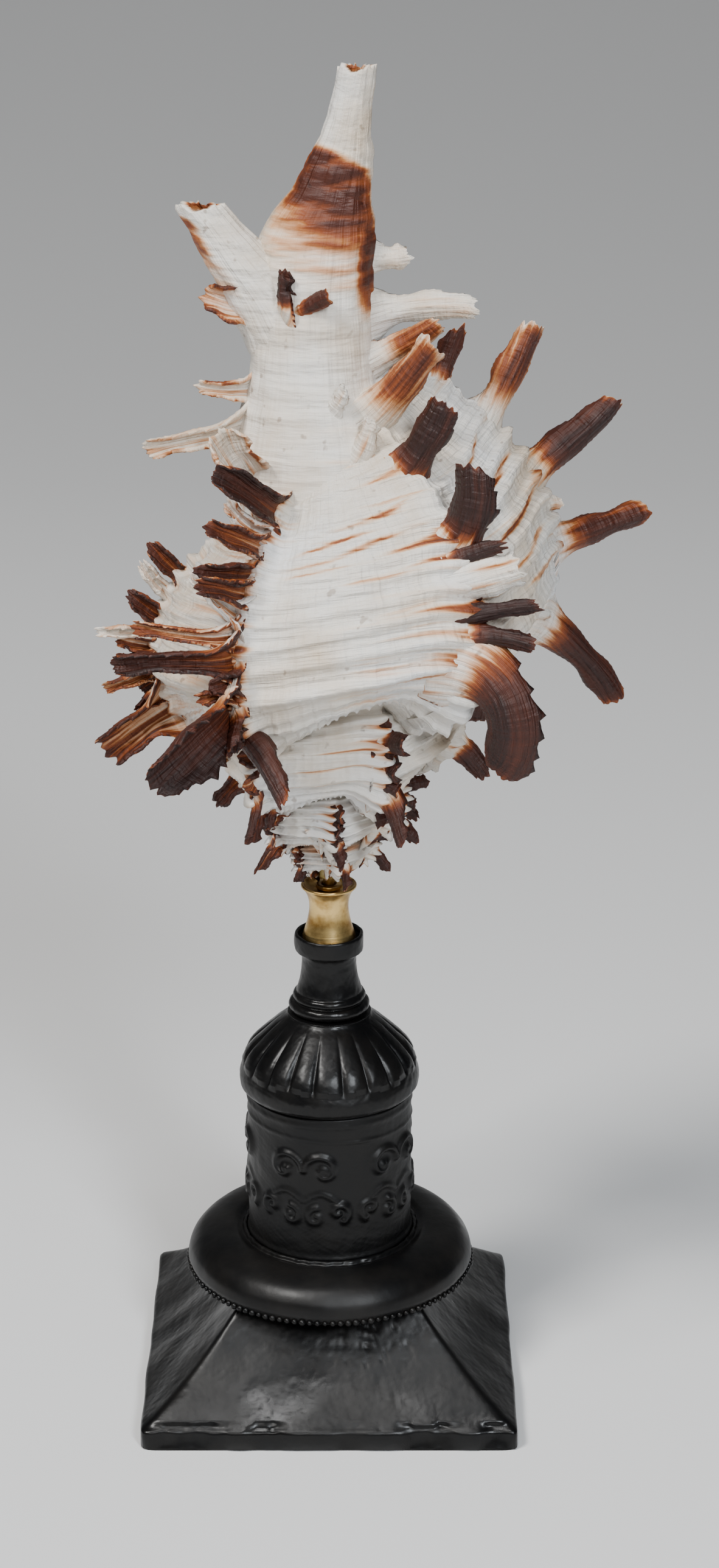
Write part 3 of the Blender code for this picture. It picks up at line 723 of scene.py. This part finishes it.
def varix_rise(angle):
    """Height of the ridges: at each varix a Gaussian in angle, wide before it and narrow after it."""
    away = np.asarray(angle, float)[..., None] - np.asarray(VARICES, float)
    return 2.0 * np.exp(-(away / np.where(away < 0, 11.0, 4.0)) ** 2).sum(axis=-1)


def outline_at(angle, outer_count):
    """The outline at one angle, as even steps: full beside a varix, drawn in between two."""
    away = float(angle) - np.asarray(VARICES, float)
    full = np.exp(-(away / np.where(away > 0, 24.0, 9.0)) ** 2).max()
    line = full * smooth_line(OUTLINE, 801) + (1 - full) * smooth_line(WAIST, 801)
    outer, run = even_steps(line[:501], outer_count)
    inner = even_steps(line[500:], 22)[0][1:-1]
    line = np.concatenate([outer, inner])
    along = np.roll(line, -1, axis=0) - np.roll(line, 1, axis=0)
    outward = np.stack([along[:, 1], -along[:, 0]], axis=-1)
    outward /= np.linalg.norm(outward, axis=1, keepdims=True)
    return line, outward, run * (OUTER_RUN[-1] / run[-1])


def wall_relief(angle, run, place):
    """Relief of the outer wall: varices, main cords that rise on them, fine cords and growth lines."""
    ridge = varix_rise(angle)
    in_run = np.clip(run / 3.0, 0, 1) * np.clip((OUTER_RUN[-1] - run) / 9.0, 0, 1)
    relief = ridge * in_run * (0.85 + 0.15 * np.cos(run * 1.9))
    for height in (38, 40.5, 43, 47.5, 51.5, 55.5, 59, 61.8, 64.5, 67.5, 70.5, 75):
        near = np.exp(-((run - run_of(height) - 0.25 * np.sin(angle * 0.06 + height)) / 0.75) ** 2)
        relief += near * (0.66 + 0.16 * ridge) * in_run * (1 + 0.7 * (angle < -380))
    keel = np.clip(1 - ridge / 1.5, 0, 1)
    relief += in_run * keel * (0.95 * np.exp(-((run - run_of(46.6)) / 1.0) ** 2)
                               - 0.75 * np.exp(-((run - run_of(43.2)) / 1.8) ** 2))
    between = 2 * math.pi * (run + 0.10 * np.sin(angle * 0.11)) / 1.32
    relief += (0.15 + 0.03 * ridge) * np.abs(np.cos(between / 2)) ** 0.7 * in_run
    lines = np.sin(angle * 1.63 + 1.7 * np.sin(angle * 0.21) + 0.25 * run)
    relief += 0.12 * np.maximum(lines, 0) ** 2 * in_run * (1 + 3.4 * np.exp(-((run - 8) / 4.5) ** 2))
    relief += (0.16 * wave_noise(place, 5.5, 71, 3) + 0.22 * wave_noise(place, 13.0, 73, 2)) * in_run
    return relief * size_at(angle) ** -0.6


# Thin tan lines that follow the cords: height, middle and half of the angle they run through, strength.
LONG_STREAKS = (
    (70.2, -72, 20, 0.17), (68.6, -86, 18, 0.20), (66.9, -78, 26, 0.22), (65.2, -92, 14, 0.16),
    (62.6, -70, 15, 0.13), (57.4, -66, 12, 0.15), (54.0, -60, 9, 0.16), (46.0, -62, 12, 0.18),
    (66.0, -12, 22, 0.26), (61.0, -8, 20, 0.24), (56.5, -16, 16, 0.20), (70.0, -14, 14, 0.22),
    (40.0, -450, 24, 0.20), (50.5, -448, 20, 0.24), (55.0, -440, 18, 0.26), (46.0, -458, 26, 0.20),
)


def stain_on(angle, run):
    """How brown the wall is: a band runs back from each frond's foot, and pale dashes mark the cords."""
    older = np.clip((-112 - angle) / 5, 0, 1) * np.clip((angle + 190) / 8, 0, 1)
    stain_and_shade = 0.10 * older * np.ones(np.broadcast(angle, run).shape)
    for height, middle, half, strength in LONG_STREAKS:
        along = np.exp(-((angle - middle) / half) ** 4)
        line = run - run_of(height) - 0.02 * (angle - middle) - 0.3 * np.sin(angle * 0.13 + height)
        stain_and_shade = np.maximum(stain_and_shade, 1.15 * strength * along * np.exp(-(line / 0.55) ** 2))
    for varix, numbers in frond_list():
        back = angle - varix
        fade = np.where(back < 0, np.exp(back / (7.0 + 12.0 * numbers[7] ** 2)), np.exp(-(back / 3.5) ** 2))
        drift = 0.03 * np.minimum(back, 0) * math.sin(numbers[0] * 5.0)
        wide = 0.55 + 0.22 * numbers[5] * np.exp(np.minimum(back, 0) / 6.0)
        band = np.exp(-((run - drift - run_of(numbers[0])) / wide) ** 2)
        stain_and_shade = np.maximum(stain_and_shade, 0.44 * numbers[7] * fade * band)
    return stain_and_shade


def wound_wall(angles, columns):
    """Rings of the wall, with their stain and UV: at each angle the outline, moved along its normal by
    the relief, is scaled by growth to the power of the turns and swung round the axis by the angle."""
    lines, outwards, runs = zip(*[outline_at(a, columns - 20) for a in angles])
    line, outward = np.array(lines), np.array(outwards)
    run = np.concatenate([runs[0], np.linspace(runs[0][-1] + 3, runs[0][-1] + 50, 20)])
    is_outer = np.arange(columns) < columns - 20
    angle = angles[:, None]
    turn = np.radians(angle)
    size = size_at(angle)
    place = swing(line[..., 0], turn, line[..., 1] + angle * 0.08)
    relief = wall_relief(angle, run[None, :], place) * is_outer
    ring = (line + outward * relief[..., None]) * size[..., None]
    points = swing(ring[..., 0], turn, APEX_Z + ring[..., 1])
    stain_and_shade = stain_on(angle, run[None, :]) * is_outer
    uv = np.stack([np.broadcast_to(np.radians(angle) * 30 * size, relief.shape),
                   np.broadcast_to(run * size, relief.shape)], axis=-1) / 100
    return points, stain_and_shade, uv


def with_caps(points, stain_and_shade, uv):
    """The rings with a middle point gathered at each end, and the matching stain and UV."""
    mesh_points, faces = capped_tube(points)
    stain_and_shade = np.concatenate([stain_and_shade[:1], stain_and_shade, stain_and_shade[-1:]]).ravel()
    uv = np.concatenate([uv[:1], uv, uv[-1:]]).reshape(-1, 2)
    return mesh_points, faces, stain_and_shade, uv


def shell_material(name):
    """Shell: cream lime with a brown scale fed by the stain (with painted shade inside the canals' open
    ends), painted shade darkening the pits, and cords and growth lines in the bump.
    """
    made = new_finish(name, IOR=1.45, Specular_IOR_Level=0.40, Subsurface_Weight=0.06,
                      Subsurface_Radius=(1.0, 0.6, 0.4), Subsurface_Scale=0.0008)
    place = add_node(made, "TexCoord", "Object")
    along_shell = add_node(made, "UVMap")
    amount = made.node_tree.nodes.new("ShaderNodeAttribute")
    amount.attribute_name = "stain_and_shade"
    amount = amount.outputs["Fac"]

    def noise(scale, detail):
        """Noise through the solid, of this many lumps to a metre."""
        return add_node(made, "TexNoise", Vector=place, Scale=scale, Detail=detail)

    def grain(stretch, detail=4.0):
        """Noise on the shell's own UV, drawn out along its growth or across it."""
        return add_node(made, "TexNoise", Scale=1.0, Detail=detail,
                        Vector=add_node(made, "Mapping", Vector=along_shell, Scale=stretch))

    def maths(operation, first, second):
        """One sum of two outputs, or of an output and a number."""
        node = made.node_tree.nodes.new("ShaderNodeMath")
        node.operation = operation
        for socket, value in zip(node.inputs, (first, second)):
            if isinstance(value, float):
                socket.default_value = value
            else:
                made.node_tree.links.new(value, socket)
        return node.outputs["Value"]

    def mix(mode, **wanted):
        """Two colours mixed by a factor."""
        node = made.node_tree.nodes.new("ShaderNodeMix")
        node.data_type = "RGBA"
        node.blend_type = mode
        feed(made, node, wanted)
        return node.outputs["Result"]

    cords = grain((9.0, 130.0, 1.0))
    growth = grain((150.0, 14.0, 1.0))
    blotch = noise(70.0, 5.0)
    pit = noise(520.0, 2.0)
    ground = tones(made, blotch, (0.32, (0.56, 0.46, 0.35)), (0.50, (0.66, 0.62, 0.56)),
                   (0.68, (0.69, 0.69, 0.69)))
    loose = maths("MULTIPLY", maths("SUBTRACT", cords, 0.5), 0.75)
    faint = maths("MULTIPLY", maths("SUBTRACT", blotch, 0.42), 0.10)
    patch = add_node(made, "MapRange", Value=noise(42.0, 2.0), From_Min=0.44, From_Max=0.62, To_Max=1.0)
    peak = maths("MAXIMUM", maths("SUBTRACT", grain((4.0, 62.0, 1.0), 2.0), 0.50), 0.0)
    faint = maths("ADD", faint, maths("MULTIPLY", peak, patch))
    strength = maths("ADD", amount, maths("MULTIPLY", amount, loose))
    strength = maths("ADD", strength, maths("MULTIPLY", loose, 0.30))
    strength = maths("ADD", strength, faint)
    brown = tones(made, strength, (0.08, (0.78, 0.68, 0.54)), (0.20, (0.55, 0.24, 0.075)),
                  (0.30, (0.20, 0.045, 0.010)), (0.42, (0.058, 0.0130, 0.0060)),
                  (0.75, (0.0190, 0.0058, 0.0042)))
    cover = add_node(made, "MapRange", Value=strength, From_Min=0.06, From_Max=0.26)
    # Painted shade: the colour is darkened in the dents that the pit noise makes in the bump.
    painted_pit_shade = tones(made, pit, (0.27, (0.30, 0.22, 0.16)), (0.33, (1.0, 1.0, 1.0)))
    colour = mix("MULTIPLY", Factor=0.55, A=mix("MIX", Factor=cover, A=ground, B=brown), B=painted_pit_shade)
    gloss = add_node(made, "MapRange", Value=noise(240.0, 5.0), To_Min=0.34, To_Max=0.70)
    normal = add_node(made, "Bump", Strength=0.8, Distance=0.00090, Height=cords)
    normal = add_node(made, "Bump", Strength=0.55, Distance=0.00055, Height=growth, Normal=normal)
    normal = add_node(made, "Bump", Strength=0.35, Distance=0.00018, Height=pit, Normal=normal)
    return coat(made, colour, gloss, normal)


SHELL_LIME = shell_material("shell_lime")
SEAM_ANGLE = -351.0


def make_shell_body():
    """The last turn of the wall, closed at the lip by rings that shrink towards the middle of the
    outline as they run back, which leaves the hollow behind the lip."""
    angles = np.linspace(SEAM_ANGLE, LIP_ANGLE, 590)
    points, stain_and_shade, uv = wound_wall(angles, 150)
    backs = LIP_ANGLE - np.array([-0.6, -0.5, 0.3, 1.6, 3.6, 7, 12, 20, 32, 46, 60, 76, 92, 104])
    insets = np.array([0.97, 0.92, 0.86, 0.81, 0.77, 0.74, 0.73, 0.73, 0.74, 0.76, 0.78, 0.80, 0.80, 0.5])
    middle = np.array([19.0, 56.5])
    cavity = []
    for angle, inset in zip(backs, insets):
        line = outline_at(angle, 130)[0]
        ring = (middle + (line - middle) * inset) * float(size_at(angle))
        cavity.append(swing(ring[:, 0], math.radians(angle), APEX_Z + ring[:, 1]))
    points = np.concatenate([points, np.array(cavity)])
    stain_and_shade = np.concatenate([stain_and_shade, np.zeros((len(backs), 150))])
    uv = np.concatenate([uv, np.repeat(uv[-1:], len(backs), axis=0)])
    points, faces, stain_and_shade, uv = with_caps(points, stain_and_shade, uv)
    body = put_mesh("shell_last_whorl", points, faces, {"stain_and_shade": stain_and_shade}, uv)
    finish_piece(body, SHELL_LIME, "shell", "murex_shell")


def make_shell_spire():
    """The same wall for all the older turns, with finer steps as they grow."""
    angles = np.concatenate([np.arange(FIRST_ANGLE, -1050, 3.0), np.arange(-1050, -700, 1.6),
                             np.linspace(-700, SEAM_ANGLE, 350)])
    points, stain_and_shade, uv = wound_wall(angles, 120)
    points, faces, stain_and_shade, uv = with_caps(points, stain_and_shade, uv)
    finish_piece(put_mesh("shell_spire", points, faces, {"stain_and_shade": stain_and_shade}, uv), SHELL_LIME, "shell")


make_shell_body()
make_shell_spire()

# ----
# Fronds: at each varix the lip grew out into folded leaves. Each starts flat in the wall, turns
# outward with its back to the older side, folds into a channel, and ends frayed. The back keeps the
# cords as ridges, and short scales cross it.


def wall_point(height, angle, share):
    """A point on the wall at this height on the outline, lifted by a share of the varix there."""
    size = float(size_at(angle))
    radius = (np.interp(height, OUTER_LINE[:, 1], OUTER_LINE[:, 0]) + float(varix_rise(angle)) * share) * size
    return swing(radius, math.radians(angle), APEX_Z + height * size)


# How brown the hollow side is beside the back, by varix.
HOLLOW_TONE = {13: 0.5, -47: 0.6, -116: 1.4, -185: 1.3}


def frond_surface(start, foot, angle, facing, numbers, seed, rows, half):
    """Rings of one frond. An arc whose half angle grows from nearly flat to the full fold is carried
    along a line that leaves the wall and bends out to the tip; the ring goes out along the back and
    home along the hollow side."""
    length, lean, lean_tip, sweep, width, fold, dark = numbers
    length *= 1.10
    chance = np.random.default_rng(seed)
    hollow_tone = HOLLOW_TONE.get(angle, 0.8) * chance.uniform(0.5, 1.3)
    turn = math.radians(angle)
    radial = np.array([math.cos(turn), math.sin(turn), 0.0])
    growing = np.array([-math.sin(turn), math.cos(turn), 0.0])
    up = np.array([0.0, 0.0, 1.0])
    steps = 64
    part = np.linspace(0, 1, steps)

    def walk(side, leans):
        """Steps of equal length added up, each turned out of the radial way by side and up by its lean."""
        flat = np.cos(side)[:, None] * radial + np.sin(side)[:, None] * growing
        tangent = np.cos(leans)[:, None] * flat + np.sin(leans)[:, None] * up
        middle = (tangent[1:] + tangent[:-1]) / 2 * length / (steps - 1)
        return np.vstack([np.zeros(3), np.cumsum(middle, axis=0)]), tangent

    leans = np.radians(lean + (lean_tip - lean) * part)
    straight, first = walk(np.full(steps, math.radians(sweep)), leans)
    tip = foot + straight[-1] - first[0] * 1.6
    side = np.radians(sweep + (80 - sweep) * np.exp(-part / 0.17))
    bent, _ = walk(side, leans * (1 - np.exp(-part / 0.10)))
    wobble = chance.uniform(-1, 1, 3) * length * 0.02
    line = start + bent + part[:, None] * (tip - start - bent[-1])
    line += np.sin(part * math.pi * 2.0 + chance.uniform(0, 6))[:, None] * wobble * part[:, None]
    tangent = np.gradient(line, axis=0)
    tangent /= np.linalg.norm(tangent, axis=1, keepdims=True)
    settle = np.clip(1 - part / 0.30, 0, 1)[:, None]
    wall_way = settle * (facing[0] * radial + facing[1] * up) + (1 - settle) * radial
    opening = np.cos(side)[:, None] * growing - np.sin(side)[:, None] * wall_way
    opening -= (opening * tangent).sum(axis=1, keepdims=True) * tangent
    opening /= np.linalg.norm(opening, axis=1, keepdims=True)
    across = np.cross(tangent, opening)

    across_part = np.linspace(-1, 1, half)
    alpha = np.concatenate([across_part, across_part[::-1]])
    is_back = np.arange(2 * half) < half
    s = np.linspace(0, 1, rows)[:, None]
    prongs = wave_noise(alpha[:, None] * np.array([1.0, 0.4]) * 3.0 + seed, 1.5, seed, 2)[None, :]
    ragged = min(0.20, 1.5 / length)
    where = s * (1 - (0.03 + ragged * (0.5 + 0.5 * prongs + 0.9 * alpha[None] ** 2)) * s ** 4)

    def along(values):
        """Values on the line read off at the share of the length that each point has reached."""
        return np.stack([np.interp(where, part, values[:, k]) for k in range(3)], axis=-1)

    centre, side_way, open_way = along(line), along(across), along(opening)
    grip = np.clip(s / 0.34, 0, 1)
    grip = grip * grip * (3 - 2 * grip)
    flat = 0.24 + 0.04 * max(width - 6, 0)
    bend = math.radians(fold) * (flat + (1 - flat) * grip) * (1 - 0.10 * s ** 4)
    teeth = length / 2.4
    saw = (s * teeth + 0.37 * seed + 0.12 * np.sign(alpha[None])) % 1.0
    rim = np.clip((np.abs(alpha[None]) - 0.5) / 0.5, 0, 1)
    frill = 1 + 0.26 * saw ** 2 * np.clip((s - 0.15) / 0.2, 0, 1) * (1 - 0.8 * s ** 3) * rim
    flare = 1.3 * min(1.0, 4.6 / width) ** 1.6 * np.exp(-s / 0.12)
    spread = width / 2 * math.radians(fold) * (0.94 + flare + 0.09 * np.sin(s * 9 + seed))
    spread = spread * (1 - 0.30 * s ** 2) * (1 + 0.07 * np.sin(s * 17 + 2.3 * seed))
    spread = spread * (1 - 0.4 * np.exp(-s / 0.12) * min(max(width - 8, 0) / 3, 1))
    radius = spread / bend
    theta = alpha[None] * bend * frill
    closing = np.maximum(s ** 10, alpha[None] ** 10)
    thick = (0.95 - 0.45 * s) * min(1.0, 0.3 + width / 5.0) * np.sqrt(np.clip(1 - closing, 0, 1))
    scale_count = max(length / 0.95, 3.0)
    scale_place = (where * scale_count - 0.35 * np.cos(alpha[None] * 1.5) + 0.05 * seed) % 1.0
    uneven = 0.7 + 0.6 * np.sin(s * 23 + 5 * alpha[None] + seed)
    scales = 0.10 * scale_place ** 1.6 * np.clip(s / 0.15, 0, 1) * uneven
    ribs = 0.15 * np.abs(np.cos(alpha[None] * math.pi * 1.5 + 0.3 * np.sin(s * 7))) ** 0.8
    relief = scales + ribs - 0.1
    out_by = np.where(is_back[None], relief, relief * (0.3 + 0.7 * closing) - thick)
    reach = radius + out_by
    points = centre + (reach * np.sin(theta))[..., None] * side_way
    points = points + (radius - reach * np.cos(theta))[..., None] * open_way
    sink = 0.16 * width * alpha[None] ** 4 * np.exp(-s / 0.10) + 0.9 * np.exp(-s / 0.035)
    points = points + sink[..., None] * open_way
    crumple = wave_noise(points, 2.6, 83 + seed % 5, 3) * np.clip(s / 0.2, 0, 1)
    points = points + 0.10 * crumple[..., None] * open_way

    rise = np.clip((s - 0.09 - 0.07 * dark) / (0.42 - 0.14 * dark), 0, 1) ** 1.2
    back_stain = dark * (0.14 + 0.70 * rise) * (1 - 0.45 * np.clip((s - 0.88) / 0.12, 0, 1))
    back_stain = back_stain * (0.90 + 0.14 * np.cos(alpha[None] * math.pi * 1.5))
    front_stain = dark * hollow_tone * (0.28 + 0.35 * s + 0.45 * np.abs(alpha[None]) ** 3)
    stain_and_shade = np.where(is_back[None], back_stain, front_stain) * np.ones_like(theta)
    uv = np.stack([np.broadcast_to(s * length, theta.shape), theta * radius + 3.0 * is_back], axis=-1) / 100
    return points, stain_and_shade, uv


def rooted_tube(rings):
    """A tube with its first end gathered into a middle point: the last ring already meets itself."""
    rows, columns = rings.shape[:2]
    first = np.repeat(rings[:1].mean(axis=1, keepdims=True), columns, axis=1)
    return np.concatenate([first, rings]).reshape(-1, 3), ring_faces(rows + 1, columns)


def put_shell_parts(name, made_parts):
    """One mesh of several closed parts, each given as points, faces, stain and UV."""
    points, faces, stain_and_shade, uv = zip(*made_parts)
    first = np.cumsum([0] + [len(part) for part in points[:-1]])
    faces = np.concatenate([part + start for part, start in zip(faces, first)])
    values = {"stain_and_shade": np.concatenate(stain_and_shade)}
    piece = put_mesh(name, np.concatenate(points), faces, values, np.concatenate(uv))
    finish_piece(piece, SHELL_LIME, "shell")


def put_fronds(name, fronds, rows, half):
    """Several fronds in one mesh: a list of (start, foot, angle, wall direction, numbers, seed)."""
    made_parts = []
    for frond in fronds:
        points, stain_and_shade, uv = frond_surface(*frond, rows, half)
        stain_and_shade = np.concatenate([stain_and_shade[:1], stain_and_shade]).ravel()
        uv = np.concatenate([uv[:1], uv]).reshape(-1, 2)
        made_parts.append((*rooted_tube(points), stain_and_shade, uv))
    put_shell_parts(name, made_parts)


def make_body_fronds():
    """Starts each frond on the wall a little before its varix, so that its root lies along the wall."""
    groups = {}
    for count, (angle, numbers) in enumerate(frond_list()):
        size = float(size_at(angle))
        height, length = numbers[:2]
        back = min(0.22 * length, 3.0 * size) + 0.4 * size + max(numbers[5] - 8, 0) * 1.2
        back += min(max(numbers[4] - 15, 0) * 0.22, 5.5)
        radius = float(np.interp(height, OUTER_LINE[:, 1], OUTER_LINE[:, 0])) * size
        start = wall_point(height, angle - math.degrees(back / radius), 1.05)
        foot = wall_point(height, angle, 0.6)
        near = np.abs(OUTER_LINE[:, 1] - height).argmin()
        along = OUTER_LINE[min(near + 5, 399)] - OUTER_LINE[max(near - 5, 0)]
        facing = np.array([along[1], -along[0]]) / np.linalg.norm(along)
        key = f"fronds_varix_{VARICES.index(angle) + 1}" if angle in FRONDS else "fronds_older"
        groups.setdefault(key, []).append((start, foot, angle, facing, numbers[1:], count + 1))
    for key, fronds in groups.items():
        rows, half = (30, 12) if key == "fronds_older" else (88, 28)
        put_fronds(key, fronds, rows, half)


make_body_fronds()

# ----
# Varix wings: the thin frilled edge of each former lip, from shoulder to canal. It leaves the wall
# along its growth, turns outward, and stands highest at the foot of each frond.


def wing_surface(varix, fronds, rows, half):
    """Rings of one wing. At each distance along the outline the section is a quarter ellipse from the
    wall to a frilled edge; the ring goes out along the older face and home along the younger one."""
    size = float(size_at(varix))
    run = np.linspace(5.0, OUTER_RUN[-1] - 15.0, rows)[:, None]
    ends = np.clip((run - 5.0) / 3.0, 0, 1) * np.clip((OUTER_RUN[-1] - 15.0 - run) / 6.0, 0, 1)
    rise = np.zeros_like(run)
    stain_rise = np.zeros_like(run)
    for numbers in fronds:
        gap = np.abs(run - run_of(numbers[0]))
        near = np.exp(-(gap / (0.36 * numbers[5] / size + 1.5)) ** 1.4)
        dip = 0.75 * np.exp(-(gap / (0.24 * numbers[5] / size)) ** 2)
        rise = np.maximum(rise, near - dip)
        stain_rise = np.maximum(stain_rise, near * numbers[7])
    wavy = wave_noise(np.concatenate([run, 0 * run + varix], axis=1), 3.0, 101, 3)[:, None]
    high = size * ends * (0.8 + 3.3 * rise + 0.6 * wavy) * np.clip((72.0 - run) / 30.0, 0.25, 1)
    part = np.linspace(0, 1, half)
    s = np.concatenate([part, part[::-1]])[None]
    is_old = (np.arange(2 * half) < half)[None]
    back = 3.2 * size
    outline = np.stack([np.interp(run, OUTER_RUN, OUTER_LINE[:, k]) for k in (0, 1)], axis=-1)
    along = np.gradient(outline[:, 0], axis=0)
    normal = np.stack([along[:, 1], -along[:, 0]], axis=-1)
    normal = (normal / np.linalg.norm(normal, axis=1, keepdims=True))[:, None]
    sweep = math.radians(fronds[0][4])
    thick = 0.55 * size * np.sqrt(1 - s ** 8)
    forward = back * np.sin(s * math.pi / 2) + high * s ** 2 * math.sin(sweep)
    forward = forward + 0.25 * size * np.sin(run * 2.3) * s
    forward = forward + np.where(is_old, 0, thick)
    outward = high * (1 - np.cos(s * math.pi / 2)) - 0.5 * size
    outward = outward + np.where(is_old, 0, -0.3 * thick * (1 - s))
    flat = outline * size + normal * outward[..., None]
    turn = math.radians(varix) - back / np.maximum(outline[..., 0] * size, 4.0)
    turn = turn + forward / np.maximum(flat[..., 0], 4.0)
    points = swing(flat[..., 0], turn, APEX_Z + flat[..., 1])
    points[..., 2] += 0.12 * size * np.sin(s * 9 + run) * s
    stain_and_shade = (stain_rise * (0.25 + 0.45 * s) + 0.05) * np.where(is_old, 1.0, 0.6)
    uv = np.stack([s * 4.0 + 0 * run, run + 0 * s], axis=-1) / 100
    return points, stain_and_shade * np.ones_like(s), uv


def make_wings():
    """One mesh of every wing."""
    by_varix = {}
    for varix, numbers in frond_list():
        by_varix.setdefault(varix, []).append(numbers)
    made_parts = []
    for varix, fronds in by_varix.items():
        rows, half = (260, 14) if varix in FRONDS else (120, 9)
        made_parts.append(with_caps(*wing_surface(varix, fronds, rows, half)))
    put_shell_parts("varix_wings", made_parts)


make_wings()

# ----
# Canal: the long spout at the front end of the shell. A tapering tube, slit along its hidden side and
# broken off ragged at the tip, with the stub of an older canal beside it and fronds of its own.
CANAL = (
    (122.0, -2.0, -4.5, 4.5, 4.0), (127.0, -1.6, -4.6, 8.5, 6.4), (132.0, -1.2, -4.4, 11.6, 7.6),
    (138.0, -1.2, -4.0, 12.6, 8.2), (146.0, -1.5, -2.9, 10.9, 7.6), (154.0, -1.8, -1.4, 8.7, 6.9),
    (162.0, -2.0, -0.7, 8.2, 6.6), (168.0, -1.8, -0.4, 8.0, 5.8), (174.0, -0.9, -0.4, 7.2, 4.4),
    (178.5, 0.6, -0.2, 5.3, 3.5), (183.0, 1.9, 0.0, 4.2, 3.0), (188.0, 3.0, 0.0, 2.9, 2.5),
    (195.0, 4.2, 0.0, 2.5, 2.3),
)
OLD_CANAL = (
    (156.0, -3.5, -0.5, 6.8, 5.6), (163.0, -6.8, -0.8, 6.6, 5.0), (168.5, -10.8, -1.0, 5.2, 4.2),
    (173.0, -14.2, -1.2, 4.0, 3.3), (176.8, -16.9, -1.4, 3.2, 2.7),
)
CANAL_FRONDS = (
    (163.0, 188, 9, 10, 26, 0, 5.0, 100, 0.6), (152.0, 190, 9, 0, 10, 0, 2.6, 100, 0.35),
    (146.5, 196, 15, 4, -16, 0, 3.4, 100, 0.25), (139.0, 226, 13, 60, 52, -10, 6.4, 100, 0.25),
    (169.5, -6, 7, -8, 10, 0, 3.8, 90, 0.16), (161.5, -10, 16, 20, -8, 0, 4.4, 90, 0.16),
    (155.5, -20, 13, 30, 38, 0, 3.8, 100, 0.40), (147.5, -50, 17, 46, 60, 34, 5.4, 120, 0.42),
    (143.0, -58, 9, 66, 84, 10, 3.4, 100, 0.16),
    (164.0, 242, 7, 74, 88, 0, 2.6, 130, 1.0), (163.0, 256, 8, 30, 34, 70, 2.6, 130, 0.6),
    (150.5, -72, 6, 60, 70, 10, 2.6, 90, 0.12),
)


def spout(name, sections, rows, columns, stains):
    """A tube through elliptic sections, ringed by growth, ribbed along, and open at its ragged end, with
    painted shade on the lining inside that end.
    """
    line = smooth_line(sections, rows)
    turn = np.arange(columns) * 2 * math.pi / columns
    part = np.linspace(0, 1, rows)[:, None]
    circle = np.stack([np.cos(turn), np.sin(turn)], axis=-1)
    ragged = 0.5 * wave_noise(circle * 2.0, 1.6, 91, 3)[None] * part ** 6
    z = line[:, :1] + ragged * 1.6
    around = swing(8, turn, z)
    level = z + 0.45 * line[:, 3:4] * np.cos(turn)
    high_up = np.clip((z - 158) / 14, 0.15, 1)
    rings = 0.20 * high_up * np.abs(np.sin(level * 0.95 + 1.1 * np.sin(level * 0.31))) ** 0.6
    ribs = 0.10 * np.abs(np.cos(turn * 7 + 0.3 * np.sin(z * 0.3)))
    relief = rings + ribs + 0.22 * wave_noise(around, 5.0, 95, 3)
    slit = np.angle(np.exp(1j * (turn - math.radians(95))))[None]
    relief = relief - 1.1 * np.exp(-(slit / 0.16) ** 2) + 0.4 * np.exp(-((np.abs(slit) - 0.36) / 0.12) ** 2)
    taper = np.clip(line[:, 3:4] / 5.0, 0.35, 1.0)
    x = line[:, 1:2] + (line[:, 3:4] + relief * taper) * np.cos(turn)
    y = line[:, 2:3] + (line[:, 4:5] + relief * taper) * np.sin(turn)
    points = np.stack([x, y, z], axis=-1)
    stain_and_shade = np.zeros(points.shape[:2])
    for middle, tall, side, wide, strength in stains:
        gap = np.degrees(np.angle(np.exp(1j * (turn - math.radians(side)))))[None]
        away = (level - middle) / np.where(level > middle, 0.45 * tall, 1.25 * tall)
        stain_and_shade = np.maximum(stain_and_shade, strength * np.exp(-away ** 4) * np.exp(-(gap / wide) ** 4))
    # The lining inside the ragged end gets an even 0.25 on the stain scale: painted shade inside the tube.
    inner_rows = 18
    shrink = np.linspace(0.62, 0.5, inner_rows)[:, None, None]
    back = points[::-1][:inner_rows * 2:2]
    centre = back.mean(axis=1, keepdims=True)
    inside = centre + (back - centre) * shrink
    points = np.concatenate([points, inside])
    stain_and_shade = np.concatenate([stain_and_shade, np.full(inside.shape[:2], 0.25)])
    uv = np.stack([np.broadcast_to(turn * 8, stain_and_shade.shape), points[..., 2] * 0.45], axis=-1) / 100
    points, faces, stain_and_shade, uv = with_caps(points, stain_and_shade, uv)
    piece = put_mesh(name, points, faces, {"stain_and_shade": stain_and_shade}, uv)
    finish_piece(piece, SHELL_LIME, "shell")


def canal_point(height, angle):
    """The point on the canal's ellipse at this height and side."""
    sections = np.asarray(CANAL)
    x, y, wide, deep = (float(np.interp(height, sections[:, 0], sections[:, i])) for i in (1, 2, 3, 4))
    turn = math.radians(angle)
    return np.array([x + wide * math.cos(turn), y + deep * math.sin(turn), height])


def make_canal():
    """The two tubes, and fronds that stand on the canal's ellipse at their height and side."""
    spout("shell_canal", CANAL, 300, 132, (
        (181.0, 6.4, -100, 95, 0.44), (177.5, 8.5, -100, 85, 0.24), (175.0, 8.0, -20, 26, 0.42),
        (172.0, 5.0, -95, 60, 0.12)))
    spout("shell_older_canal", OLD_CANAL, 120, 84, (
        (172.0, 5.0, 195, 45, 0.26), (168.0, 5.0, 210, 40, 0.16)))
    fronds = []
    for count, (height, angle, *numbers) in enumerate(CANAL_FRONDS):
        back = math.degrees(min(0.28 * numbers[0], 2.6) / 8.5)
        inward = np.array([math.cos(math.radians(angle)), math.sin(math.radians(angle)), 0.0]) * 0.3
        start, foot = canal_point(height, angle - back) - inward, canal_point(height, angle)
        fronds.append((start, foot, angle, (1.0, 0.0), numbers, 60 + count))
    put_fronds("fronds_canal", fronds, 72, 22)


make_canal()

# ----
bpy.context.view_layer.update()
